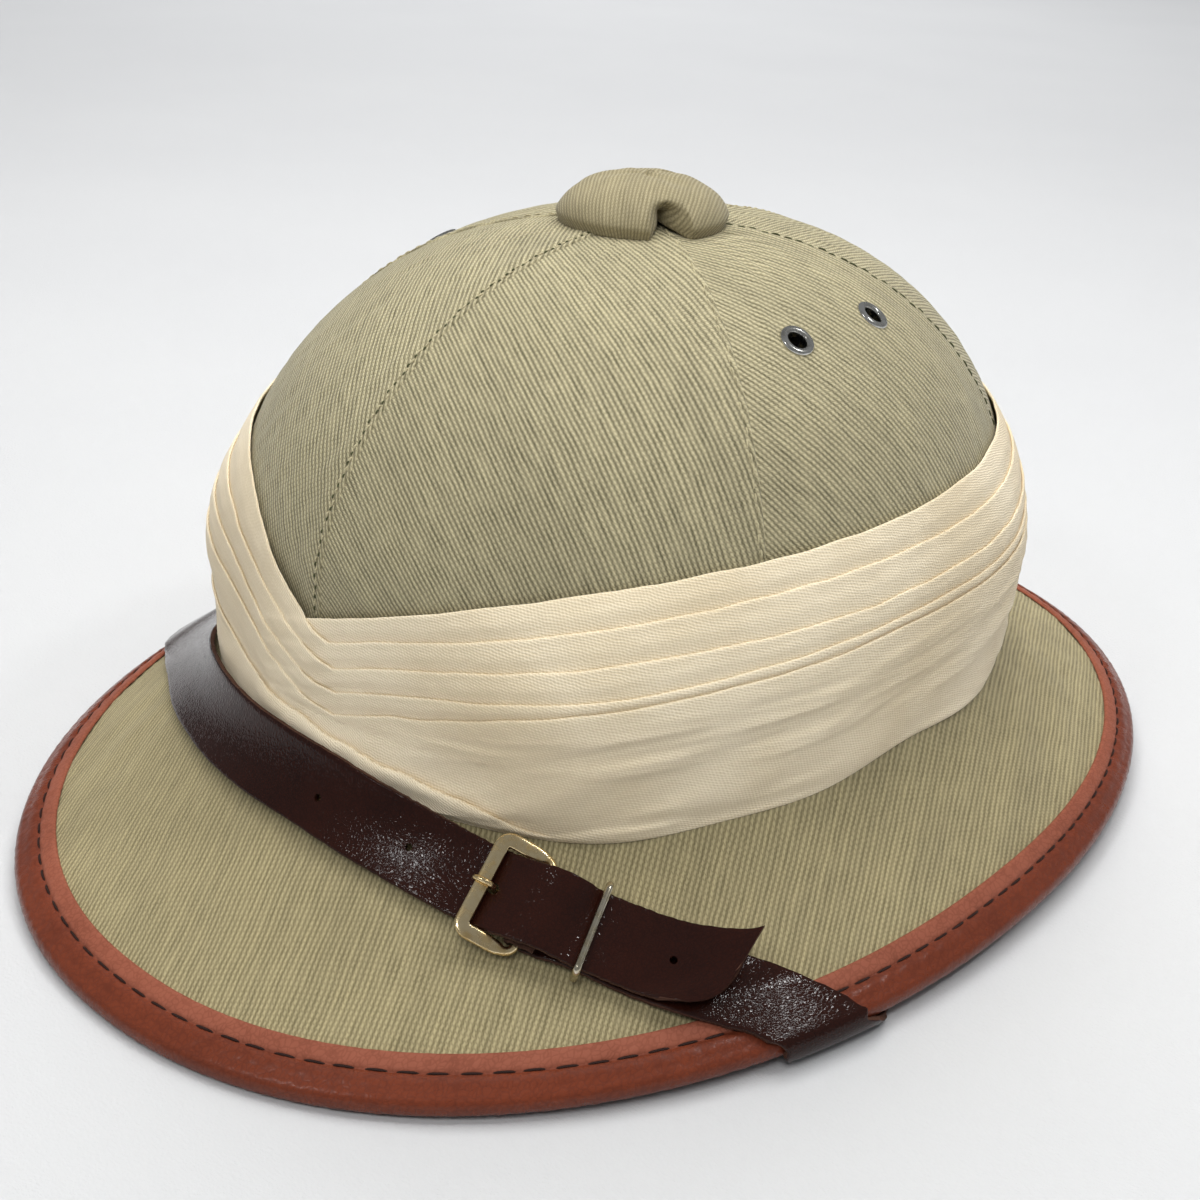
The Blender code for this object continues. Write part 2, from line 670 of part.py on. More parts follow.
def build_keeper(place):
    """The wire keeper, a closed loop round both straps."""
    low = STRAP_GAP + WIRE_RADIUS
    high = STRAP_MID + KEEPER_LIFT / 1000 + STRAP_THICKNESS / 2 + KEEPER_SLACK + WIRE_RADIUS
    half = STRAP_WIDTH / 2 + KEEPER_SIDE_GAP + WIRE_RADIUS
    loop = rounded_loop((high - low) / 2, half, KEEPER_CORNER, 2)
    points = [(0.0, y, x + (high + low) / 2) for x, y in loop]
    return wire("strap_keeper", points, WIRE_RADIUS, "pale_brass", place, cyclic=True)


def fold_lines(place):
    """The end of the buckle's strap: under the hinge bar, round it and back on top of itself."""
    radius = HINGE_RADIUS + GAP + STRAP_THICKNESS / 2
    spots = [(BUCKLE_LENGTH + 0.0010, -radius), (BUCKLE_LENGTH, -radius)]
    for step in range(1, 8):
        turn = math.pi * step / 8
        spots.append((BUCKLE_LENGTH - radius * math.sin(turn), -radius * math.cos(turn)))
    spots += [(BUCKLE_LENGTH, radius), (BUCKLE_LENGTH + FOLD_BACK / 2, radius), (BUCKLE_LENGTH + FOLD_BACK, radius)]
    return [[place @ Vector((x, STRAP_WIDTH * side, z)) for side in (-0.5, 0.0, 0.5)] for x, z in spots]


def build_straps(place):
    """Both leather straps, with their holes and the slot for the prong."""
    long_strap = add_object("chin_strap_long", strap_mesh("chin_strap_long", strap_lines(LONG_STRAP)),
                            "dark_leather")
    short_lines = strap_lines(SHORT_STRAP) + fold_lines(place)
    short_strap = add_object("chin_strap_short", strap_mesh("chin_strap_short", short_lines), "dark_leather")
    prong_hole = place @ Matrix.Translation((PRONG_HOLE_X, 0.0, 0.0004))
    drill(long_strap, "hole_prong", prong_hole, PRONG_RADIUS + 2 * GAP, 0.006)
    for number, row in enumerate(HOLE_ROWS):
        drill(long_strap, f"hole_{number}", row_matrix(LONG_STRAP, row), STRAP_HOLE_RADIUS, 0.006)
    mesh = bpy.data.meshes.new("slot")
    shape = bmesh.new()
    bmesh.ops.create_cube(shape, size=1.0)
    bmesh.ops.scale(shape, vec=SLOT_SIZE, verts=shape.verts)
    shape.to_mesh(mesh)
    shape.free()
    slot = add_object("slot", mesh)
    slot.matrix_world = place @ Matrix.Translation((BUCKLE_LENGTH + SLOT_SHIFT, 0.0, 0.0))
    cut(short_strap, slot)
    for side, strap, table in (("left", short_strap, SHORT_STRAP), ("right", long_strap, LONG_STRAP)):
        seat = row_matrix(table, RIVET_ROW)
        drill(strap, f"hole_rivet_{side}", seat, RIVET_SHANK + GAP, 0.006)
        build_rivet(f"strap_rivet_{side}", seat)


def row_matrix(table, row):
    """Placement in the middle of a strap, at a row number that may lie between two rows; Z off the hat."""
    lines = strap_lines(table)
    index = int(row * 2)
    before, after = lines[index], lines[index + 1]
    here = [start.lerp(end, row * 2 - index) for start, end in zip(before, after)]
    along = (after[1] - before[1]).normalized()
    across = here[-1] - here[0]
    across = (across - along * across.dot(along)).normalized()
    normal = along.cross(across)
    if index > 8 and normal.z < 0.0 or index <= 8 and normal.z > 0.0:
        normal.negate()
    return frame_matrix(here[1], along, normal.cross(along), normal)


def build_rivet(name, seat):
    """A tubular rivet that holds a strap's hidden end to the underside of the brim."""
    head = -(STRAP_THICKNESS / 2 + GAP)
    top = STRAP_MID - GAP
    profile = [(RIVET_BORE, top), (RIVET_SHANK, top), (RIVET_SHANK, head), (RIVET_HEAD, head),
               (RIVET_HEAD, head - 0.0005), (RIVET_HEAD * 0.7, head - 0.0011), (RIVET_BORE, head - 0.0011)]
    turned(name, profile, EYELET_STEPS, "nickel", seat @ Matrix.Rotation(math.pi, 4, "X"))


def main():
    """Build every piece of the helmet."""
    clear_scene()
    new_collection(COLLECTION)
    new_collection(CUTTERS)
    build_crown()
    build_brim()
    build_binding()
    build_band()
    build_cap()
    build_eyelets()
    buckle = buckle_frame_matrix()
    build_straps(buckle)
    build_buckle_frame(buckle)
    build_prong(buckle)
    build_keeper(keeper_matrix())


main()
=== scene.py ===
"""Pith helmet in khaki twill with a pleated cloth band and a leather chin strap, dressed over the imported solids.

Metres, +Z up. The front faces -Y and +X is the wearer's left. Angles on the hat are in degrees from the front
towards the wearer's left. A station is metres up the crown where it is negative and the share of the brim's
width where it is positive.
"""
import logging
import math
from dataclasses import dataclass, field
from enum import Enum
from typing import Any, ClassVar, Sequence

import bmesh
import bpy
import numpy as np
from mathutils import Matrix, Vector


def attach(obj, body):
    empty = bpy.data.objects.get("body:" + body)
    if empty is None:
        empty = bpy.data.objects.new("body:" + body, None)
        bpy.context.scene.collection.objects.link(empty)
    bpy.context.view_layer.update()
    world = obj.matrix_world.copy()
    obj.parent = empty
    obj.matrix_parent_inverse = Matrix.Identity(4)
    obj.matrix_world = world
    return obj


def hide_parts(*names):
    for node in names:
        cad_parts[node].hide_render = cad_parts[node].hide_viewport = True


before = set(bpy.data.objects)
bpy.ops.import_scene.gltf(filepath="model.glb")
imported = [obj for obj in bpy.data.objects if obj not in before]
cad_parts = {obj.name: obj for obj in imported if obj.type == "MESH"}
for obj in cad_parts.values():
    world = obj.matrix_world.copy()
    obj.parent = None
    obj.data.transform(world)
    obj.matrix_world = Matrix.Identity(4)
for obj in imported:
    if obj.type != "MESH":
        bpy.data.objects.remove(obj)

Array = np.ndarray
Value = float | Array
Colour = tuple[float, float, float]
Row = tuple[tuple[float, float, float], tuple[float, float, float]]
Material = bpy.types.Material
Piece = bpy.types.Object
log = logging.getLogger("pith_helmet")


# ---------------------------------------------------------------- small geometry
def ramp(value: Value, start: float, end: float) -> Value:
    """A smooth rise from 0 at start to 1 at end.

    Args:
        value: where to read the rise.
        start: where it leaves 0.
        end: where it reaches 1.

    Returns:
        The share of the rise.
    """
    share = np.clip((np.asarray(value, float) - start) / (end - start), 0.0, 1.0)
    return share * share * (3.0 - 2.0 * share)


def unit(vectors: Array) -> Array:
    """Vectors along the last axis, scaled to length 1."""
    return vectors / np.maximum(np.linalg.norm(vectors, axis=-1, keepdims=True), 1e-12)


def hump(value: Value, middle: float, width: float) -> Value:
    """A bell that is 1 at middle and falls off over width."""
    return np.exp(-((value - middle) / width) ** 2)


def run_along(points: Array) -> Array:
    """Distance along a line of points, from 0."""
    return np.concatenate([[0.0], np.cumsum(np.linalg.norm(np.diff(points, axis=0), axis=1))])


def full_turn(steps: int) -> Array:
    """Angles in radians that share out a turn."""
    return 2.0 * math.pi * np.arange(steps) / steps


def from_front(angle: Array) -> Array:
    """Angles in degrees brought between -180 and 180."""
    return (angle + 180.0) % 360.0 - 180.0


def leaned(x: Array, y: Array, degrees: float) -> Array:
    """Places on a flat cloth, turned so that its cords lean."""
    tilt = math.radians(degrees)
    return np.stack([x * math.cos(tilt) + y * math.sin(tilt), -x * math.sin(tilt) + y * math.cos(tilt)], -1)


def turned(profile: Sequence[tuple[float, float]], sides: int) -> Array:
    """Rings of points turned from rows of radius and height."""
    x, y = np.cos(full_turn(sides)), np.sin(full_turn(sides))
    return np.stack([np.stack([r * x, r * y, np.full(sides, h)], -1) for r, h in profile])


def curve_through(table: Sequence[Sequence[float]], at: Array) -> Array:
    """A smooth curve through knots at uneven places, without overshoot between them.

    Args:
        table: rows of (place, value), with rising places.
        at: where to read the curve.

    Returns:
        The value at each place.
    """
    x, y = np.array(table, float).T
    rise = np.diff(y) / np.diff(x)
    slope = np.zeros_like(y)
    same = rise[1:] * rise[:-1] > 0.0
    slope[1:-1] = np.where(same, 2.0 * rise[1:] * rise[:-1] / np.where(same, rise[1:] + rise[:-1], 1.0), 0.0)
    slope[0], slope[-1] = rise[0], rise[-1]
    step = np.clip(np.searchsorted(x, at) - 1, 0, len(rise) - 1)
    width = x[step + 1] - x[step]
    t = np.clip((at - x[step]) / width, -0.2, 1.2)
    return (y[step] * (1 + 2 * t) * (1 - t) ** 2 + slope[step] * width * t * (1 - t) ** 2
            + y[step + 1] * t * t * (3 - 2 * t) + slope[step + 1] * width * t * t * (t - 1))


class Ripple:
    """Smooth noise in two directions, the same in each run."""

    def __init__(self, seed: int, waves: int = 9) -> None:
        """Draw the waves.

        Args:
            seed: which noise it is.
            waves: how many waves are added up.
        """
        source = np.random.default_rng(seed)
        self.pitch = source.uniform(0.5, 1.7, (waves, 2)) * source.choice((-1.0, 1.0), (waves, 2))
        self.phase = source.uniform(0.0, 2.0 * math.pi, waves)

    def at(self, x: Value, y: Value) -> Array:
        """Read the noise.

        Args:
            x: the first direction, in wave lengths.
            y: the second direction, in wave lengths.

        Returns:
            Values that lie mostly between -1 and 1.
        """
        total = sum(np.sin(2.0 * math.pi * (a * np.asarray(x) + b * np.asarray(y)) + phase)
                    for (a, b), phase in zip(self.pitch, self.phase))
        return total / math.sqrt(len(self.phase)) / 1.2


class MeshBuilder:
    """Collects grids and tubes of points and makes one mesh of them."""

    def __init__(self) -> None:
        """Start with nothing in the mesh."""
        self.points: list[Array] = []
        self.faces: list[list[int]] = []
        self.slots: list[int] = []
        self.cloth: list[Array] = []
        self.count = 0

    def grid(self, points: Array, cloth: Array | None = None, slot: int = 0, round_rows: bool = False,
             round_columns: bool = False, flip: bool = False) -> None:
        """Add a grid of quads.

        Args:
            points: places, shaped (rows, columns, 3).
            cloth: places on the flat material, shaped (rows, columns, 2), in metres.
            slot: the material slot.
            round_rows: whether the last row joins the first.
            round_columns: whether the last column joins the first.
            flip: whether to turn the faces over.
        """
        rows, columns = points.shape[:2]
        index = self.count + np.arange(rows * columns).reshape(rows, columns)
        if round_rows:
            index = np.vstack([index, index[:1]])
        if round_columns:
            index = np.hstack([index, index[:, :1]])
        quads = np.stack([index[:-1, :-1], index[:-1, 1:], index[1:, 1:], index[1:, :-1]], -1).reshape(-1, 4)
        if flip:
            quads = quads[:, ::-1]
        self.points.append(points.reshape(-1, 3))
        self.cloth.append(np.zeros((rows * columns, 2)) if cloth is None else cloth.reshape(-1, 2))
        self.faces.extend(quads.tolist())
        self.slots.extend([slot] * len(quads))
        self.count += rows * columns

    def cap(self, row: Array, slot: int = 0, flip: bool = False) -> None:
        """Close a ring of points with one face.

        Args:
            row: the ring, shaped (count, 3).
            slot: the material slot.
            flip: whether to turn the face over.
        """
        order = list(range(self.count, self.count + len(row)))
        self.points.append(np.asarray(row))
        self.cloth.append(np.zeros((len(row), 2)))
        self.faces.append(order[::-1] if flip else order)
        self.slots.append(slot)
        self.count += len(row)

    def tube(self, path: Array, radii: Value, sides: int, closed: bool = False, up: Array | None = None) -> None:
        """Add a tube along a path.

        Args:
            path: the centreline, shaped (count, 3).
            radii: the radius, or one for each point.
            sides: how many sides the tube has.
            closed: whether the path's end joins its start.
            up: a direction that the path never takes; by default the height, or a slant one for a steep path.
        """
        path = np.asarray(path, float)
        radii = np.broadcast_to(np.asarray(radii, float), (len(path),))
        travel = unit(np.roll(path, -1, 0) - np.roll(path, 1, 0)) if closed else unit(np.gradient(path, axis=0))
        guide = np.array([0.0, 0.0, 1.0]) if up is None else np.asarray(up, float)
        if up is None and abs(travel[:, 2]).max() > 0.9:
            guide = np.array([0.3, 0.9, 0.1])
        across = unit(np.cross(travel, guide))
        above = np.cross(across, travel)
        turn = full_turn(sides)
        ring = across[:, None] * np.cos(turn)[None, :, None] + above[:, None] * np.sin(turn)[None, :, None]
        rows = path[:, None] + ring * radii[:, None, None]
        length = run_along(path)
        cloth = np.stack([np.broadcast_to(turn[None] * radii.mean(), rows.shape[:2]),
                          np.broadcast_to(length[:, None], rows.shape[:2])], -1)
        self.grid(rows, cloth, round_rows=closed, round_columns=True, flip=True)
        if not closed:
            self.cap(rows[0])
            self.cap(rows[-1], flip=True)

    def build(self, name: str, materials: Sequence[Material], welded: bool = False) -> Piece:
        """Make the object.

        Args:
            name: the piece's name.
            materials: one for each slot.
            welded: whether to join points that lie on each other and turn the faces outward.

        Returns:
            The object, in the scene.
        """
        mesh = bpy.data.meshes.new(name)
        mesh.from_pydata(np.concatenate(self.points).tolist(), [], self.faces)
        layer = mesh.uv_layers.new(name="cloth")
        corner = np.empty(len(mesh.loops), np.int32)
        mesh.loops.foreach_get("vertex_index", corner)
        layer.data.foreach_set("uv", np.concatenate(self.cloth)[corner].astype(np.float32).ravel())
        mesh.polygons.foreach_set("material_index", np.array(self.slots, np.int32))
        for material in materials:
            mesh.materials.append(material)
        mesh.shade_smooth()
        mesh.update()
        if welded:
            shape = bmesh.new()
            shape.from_mesh(mesh)
            bmesh.ops.remove_doubles(shape, verts=shape.verts, dist=1e-6)
            bmesh.ops.recalc_face_normals(shape, faces=shape.faces)
            shape.to_mesh(mesh)
            shape.free()
        piece = bpy.data.objects.new(name, mesh)
        bpy.context.scene.collection.objects.link(piece)
        return piece


def settle(piece: Piece, slot: str, *nodes: str) -> Piece:
    """Let a piece ride on the hat and say what it stands for.

    Args:
        piece: the finished piece.
        slot: the record's material slot; not used.
        nodes: the CAD nodes that it replaces.

    Returns:
        The same piece.
    """
    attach(piece, "root")
    if nodes:
        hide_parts(*nodes)
    log.info("%s: %d faces, stands for %s", piece.name, len(piece.data.polygons), ", ".join(nodes) or "no node")
    return piece


# ---------------------------------------------------------------- the hat's own surface
@dataclass(frozen=True)
class HatForm:
    """The hat's outer face: an oval crown that closes in a dome, and a brim that flares down to the rim."""

    half_width: float = 0.0938
    half_length: float = 0.1121
    centre_y: float = -0.0020
    top_z: float = 0.1540
    dome_z: float = 0.0867
    height_power: float = 1.64
    width_power: float = 2.48
    wall: float = 0.0045
    join_z: float = 0.0557
    rim_half_width: float = 0.1325
    rim_half_length: float = 0.1780
    rim_power: float = 0.946
    rim_z: float = 0.0038
    rim_side_rise: float = 0.0038
    brim_wall: float = 0.0035
    flare_share: float = 0.30
    flare_reach: float = 0.07
    sag: float = 0.12
    gap: float = 0.0003
    binding_leather: float = 0.0010
    probe: float = 1e-4
    probe_angle: float = 0.05

    @property
    def binding_face(self) -> float:
        """How far the binding's face stands off the brim's."""
        return self.gap + self.binding_leather

    def crown(self, angle: Value, height: Value) -> Array:
        """Outer face of the crown.

        Args:
            angle: round the hat, in degrees.
            height: above the table.

        Returns:
            Points, with x, y and z along the last axis.
        """
        angle, height = np.broadcast_arrays(np.radians(angle), np.asarray(height, float))
        rise = np.clip((height - self.dome_z) / (self.top_z - self.dome_z), 0.0, 1.0)
        share = (1.0 - rise ** self.height_power) ** (1.0 / self.width_power)
        return np.stack([self.half_width * np.sin(angle) * share,
                         self.centre_y - self.half_length * np.cos(angle) * share, height], -1)

    def rim(self, angle: Value) -> Array:
        """Top edge of the brim at the rim, before the binding.

        Args:
            angle: round the hat, in degrees.

        Returns:
            Points, with x, y and z along the last axis.
        """
        turn = np.radians(angle)
        side, ahead = np.sin(turn), np.cos(turn)
        return np.stack([self.rim_half_width * np.sign(side) * np.abs(side) ** self.rim_power,
                         -self.rim_half_length * np.sign(ahead) * np.abs(ahead) ** self.rim_power,
                         self.rim_z + self.rim_side_rise * side * side], -1)

    def brim(self, angle: Value, reach: Value) -> Array:
        """Top face of the brim.

        Args:
            angle: round the hat, in degrees.
            reach: 0 at the crown's foot and 1 at the rim.

        Returns:
            Points, with x, y and z along the last axis.
        """
        angle, reach = np.broadcast_arrays(np.asarray(angle, float), np.asarray(reach, float))
        foot, rim = self.crown(angle, self.join_z), self.rim(angle)
        slope = self.flare_share * np.exp(-reach / self.flare_reach)
        slope = slope + (1.0 - self.flare_share) * (1.0 - reach) * (1.0 - self.sag * reach)
        point = foot + (rim - foot) * reach[..., None]
        point[..., 2] = rim[..., 2] + (self.join_z - rim[..., 2]) * slope
        return point

    def brim_run(self, angle: Array) -> Array:
        """Length of the brim's slope at the rim, for a whole reach."""
        return np.linalg.norm(self.brim(angle, 1.0) - self.brim(angle, 0.8), axis=-1) / 0.2

    def degree(self, angle: float, height: Array) -> Array:
        """Length of one degree round the crown."""
        return np.linalg.norm(self.crown(angle + 0.5, height) - self.crown(angle - 0.5, height), axis=-1)

    def axes(self, angle: Value, station: Value) -> tuple[Array, Array, Array]:
        """Point, outward normal and downhill direction.

        Args:
            angle: round the hat, in degrees.
            station: metres up the crown where negative, share of the brim where positive.

        Returns:
            Three arrays of vectors.
        """
        angle, station = np.broadcast_arrays(np.asarray(angle, float), np.asarray(station, float))
        step, side = self.probe, self.probe_angle
        up = (station < 0.0)[..., None]

        def place(turn: Array, run: Array) -> Array:
            """The face there, on the crown or on the brim as the station says."""
            return np.where(up, self.crown(turn, self.join_z - np.minimum(run, step)),
                            self.brim(turn, np.maximum(run, -step)))

        here = place(angle, station)
        downhill = unit(place(angle, station + step) - place(angle, station - step))
        sideways = unit(place(angle + side, station) - place(angle - side, station))
        normal = unit(np.cross(sideways, downhill))
        outward = here[..., 0] * normal[..., 0] + (here[..., 1] - self.centre_y) * normal[..., 1]
        turned = (outward < 0.0) | (normal[..., 2] < -0.2)
        return here, np.where(turned[..., None], -normal, normal), downhill

    def skin(self, angle: Value, station: Value, offset: Value) -> Array:
        """Points at an offset from the outer face.

        Args:
            angle: round the hat, in degrees.
            station: as for axes.
            offset: metres off the face.

        Returns:
            Points, with x, y and z along the last axis.
        """
        here, normal, _ = self.axes(angle, station)
        return here + normal * np.asarray(offset, float)[..., None]

    def binding_lift(self, reach: Value) -> Value:
        """How far the binding stands off the brim under whatever lies over it."""
        return self.binding_face * ramp(reach, 0.66, 0.79)

    def wrap(self, angle: Value, reach: Value, offset: Value) -> Array:
        """Points over the brim, round the bound rim and under the brim.

        Args:
            angle: round the hat, in degrees.
            reach: up to 1 over the brim, 1 to 2 round the rim, 2 to 3 back under the brim.
            offset: metres off what lies there.

        Returns:
            Points, with x, y and z along the last axis.
        """
        angle, reach, offset = np.broadcast_arrays(np.asarray(angle, float), np.asarray(reach, float),
                                                   np.asarray(offset, float))
        over = np.clip(reach, 0.0, 1.0)
        under = np.clip(3.0 - reach, 0.0, 1.0)
        top = self.skin(angle, over, offset + self.binding_lift(over))
        below = self.skin(angle, under, -self.brim_wall - offset - self.binding_lift(under))
        here, normal, downhill = self.axes(angle, 1.0)
        centre = here - normal * (self.brim_wall / 2)
        turn = (reach - 1.0) * math.pi
        radius = self.brim_wall / 2 + self.gap + self.binding_leather + offset
        way = normal * np.cos(turn)[..., None] + downhill * np.sin(turn)[..., None]
        ring = centre + way * radius[..., None]
        return np.where((reach <= 1.0)[..., None], top, np.where((reach >= 2.0)[..., None], below, ring))

    def frame_matrix(self, angle: float, height: float) -> Matrix:
        """Placement on the crown's outer face.

        Args:
            angle: round the hat, in degrees.
            height: above the table.

        Returns:
            A matrix whose X runs sideways, Y uphill and Z outwards.
        """
        def spot(turn: float, rise: float) -> Vector:
            """The face near there."""
            return Vector(self.crown(angle + turn, height + rise))

        here, side, step = spot(0.0, 0.0), self.probe_angle, self.probe
        sideways = (spot(side, 0.0) - spot(-side, 0.0)).normalized()
        uphill = (spot(0.0, step) - spot(0.0, -step)).normalized()
        normal = sideways.cross(uphill).normalized()
        if normal.dot(Vector((here.x, here.y - self.centre_y, 0.02))) < 0.0:
            normal.negate()
        return placement(here, sideways, normal.cross(sideways), normal)


def placement(origin: Vector, along: Vector, across: Vector, normal: Vector) -> Matrix:
    """A placement whose X, Y and Z run along, across and out of a surface."""
    return Matrix.Translation(origin) @ Matrix((along, across, normal)).transposed().to_4x4()


def moved(points: Array, place: Matrix) -> Array:
    """Points taken through a placement."""
    turn = np.array(place)
    return np.asarray(points, float) @ turn[:3, :3].T + turn[:3, 3]


FORM = HatForm()


# ---------------------------------------------------------------- materials
@dataclass(frozen=True)
class Signal:
    """What a socket gives out; the signs of arithmetic place Math nodes behind it."""

    bench: "Bench"
    socket: bpy.types.NodeSocket

    def __add__(self, other: Any) -> "Signal":
        """The sum."""
        return self.bench.math("ADD", self, other)

    def __sub__(self, other: Any) -> "Signal":
        """The difference."""
        return self.bench.math("SUBTRACT", self, other)

    def __rsub__(self, other: Any) -> "Signal":
        """The difference, the other way round."""
        return self.bench.math("SUBTRACT", other, self)

    def __mul__(self, other: Any) -> "Signal":
        """The product."""
        return self.bench.math("MULTIPLY", self, other)

    def __truediv__(self, other: Any) -> "Signal":
        """The quotient."""
        return self.bench.math("DIVIDE", self, other)

    def __rtruediv__(self, other: Any) -> "Signal":
        """The quotient, the other way round."""
        return self.bench.math("DIVIDE", other, self)

    def __pow__(self, other: Any) -> "Signal":
        """The power."""
        return self.bench.math("POWER", self, other)


class Bench:
    """Places and links the nodes of one tree, with short words for the common ones."""

    def __init__(self, tree: bpy.types.NodeTree) -> None:
        """Work on a tree."""
        self.tree = tree

    def put(self, kind: str, inputs: dict[int | str, Any] | None = None, **settings: Any) -> bpy.types.Node:
        """Place a node.

        Args:
            kind: the node's type, without ShaderNode in front.
            inputs: values or signals for its inputs, by name or number.
            settings: the node's own settings.

        Returns:
            The node.
        """
        node = self.tree.nodes.new("ShaderNode" + kind)
        for key, value in settings.items():
            setattr(node, key, value)
        for key, value in (inputs or {}).items():
            self.feed(node.inputs[key], value)
        return node

    def out(self, kind: str, inputs: dict[int | str, Any] | None = None, output: int | str = 0,
            **settings: Any) -> Signal:
        """Place a node, as put does, and take one of its outputs."""
        return Signal(self, self.put(kind, inputs, **settings).outputs[output])

    def feed(self, socket: bpy.types.NodeSocket, value: Any) -> None:
        """Give a socket a value, or a link when the value is a signal.

        Args:
            socket: what is fed.
            value: the value or the signal.
        """
        if isinstance(value, Signal):
            self.tree.links.new(value.socket, socket)
        else:
            socket.default_value = value

    def group(self, tree: bpy.types.NodeTree, **inputs: Any) -> list[Signal]:
        """Place a shader group and take its outputs."""
        return [Signal(self, socket) for socket in self.put("Group", inputs, node_tree=tree).outputs]

    def deliver(self, end: bpy.types.Node, *values: Signal) -> bpy.types.NodeTree:
        """Feed a group's outputs in their order.

        Args:
            end: the group's output node.
            values: what it gives out.

        Returns:
            The group.
        """
        for number, value in enumerate(values):
            self.feed(end.inputs[number], value)
        return self.tree

    def math(self, operation: str, first: Any, second: Any = 0.0, clamp: bool = False) -> Signal:
        """One step of arithmetic."""
        return self.out("Math", {0: first, 1: second}, operation=operation, use_clamp=clamp)

    def vector(self, operation: str, first: Any, second: Any) -> Signal:
        """One step of arithmetic with two vectors."""
        return self.out("VectorMath", {0: first, 1: second}, operation=operation)

    def grown(self, vector: Any, factor: Any) -> Signal:
        """A vector times one number."""
        return self.out("VectorMath", {0: vector, "Scale": factor}, operation="SCALE")

    def noise(self, vector: Any, scale: float, detail: float = 2.0, rough: float = 0.5) -> Signal:
        """Cloudy noise from 0 to 1."""
        return self.out("TexNoise", {"Vector": vector, "Scale": scale, "Detail": detail, "Roughness": rough})

    def cloud(self, vector: Any, scale: Sequence[float], detail: float = 2.0, rough: float = 0.5) -> Signal:
        """Cloudy noise that is scaled on its own in each direction."""
        return self.noise(self.vector("MULTIPLY", vector, scale), 1.0, detail, rough)

    def parts(self, vector: Any) -> list[Signal]:
        """The x, y and z of a vector."""
        return [Signal(self, socket) for socket in self.put("SeparateXYZ", {0: vector}).outputs]

    def spread(self, value: Any, low: float, high: float, to_low: float = 0.0, to_high: float = 1.0) -> Signal:
        """A value's range low to high mapped to another, smooth and clamped."""
        return self.out("MapRange", {0: value, 1: low, 2: high, 3: to_low, 4: to_high},
                        interpolation_type="SMOOTHSTEP")

    def blend(self, share: Any, first: Any, second: Any, kind: str = "MIX") -> Signal:
        """Two colours mixed."""
        return self.out("Mix", {0: share, 6: first, 7: second}, 2, data_type="RGBA", blend_type=kind)


def srgb(colour: Colour) -> tuple[float, float, float, float]:
    """A colour as light, from its 0 to 255 screen values."""
    share = np.array(colour) / 255.0
    return (*np.where(share <= 0.04045, share / 12.92, ((share + 0.055) / 1.055) ** 2.4).tolist(), 1.0)


def new_group(name: str, inputs: dict[str, float | None],
              outputs: Sequence[str]) -> tuple[Bench, list[Signal], bpy.types.Node]:
    """Start a shader group.

    Args:
        name: the group's name.
        inputs: default values by socket name; None is a vector.
        outputs: the names of its outputs, which are all numbers.

    Returns:
        The group's bench, what its inputs bring and its output node.
    """
    tree = bpy.data.node_groups.new(name, "ShaderNodeTree")
    for socket, value in inputs.items():
        kind = "NodeSocketVector" if value is None else "NodeSocketFloat"
        made = tree.interface.new_socket(name=socket, in_out="INPUT", socket_type=kind)
        if value is not None:
            made.default_value = value
    for socket in outputs:
        tree.interface.new_socket(name=socket, in_out="OUTPUT", socket_type="NodeSocketFloat")
    bench = Bench(tree)
    start, end = tree.nodes.new("NodeGroupInput"), tree.nodes.new("NodeGroupOutput")
    return bench, [Signal(bench, start.outputs[socket]) for socket in inputs], end


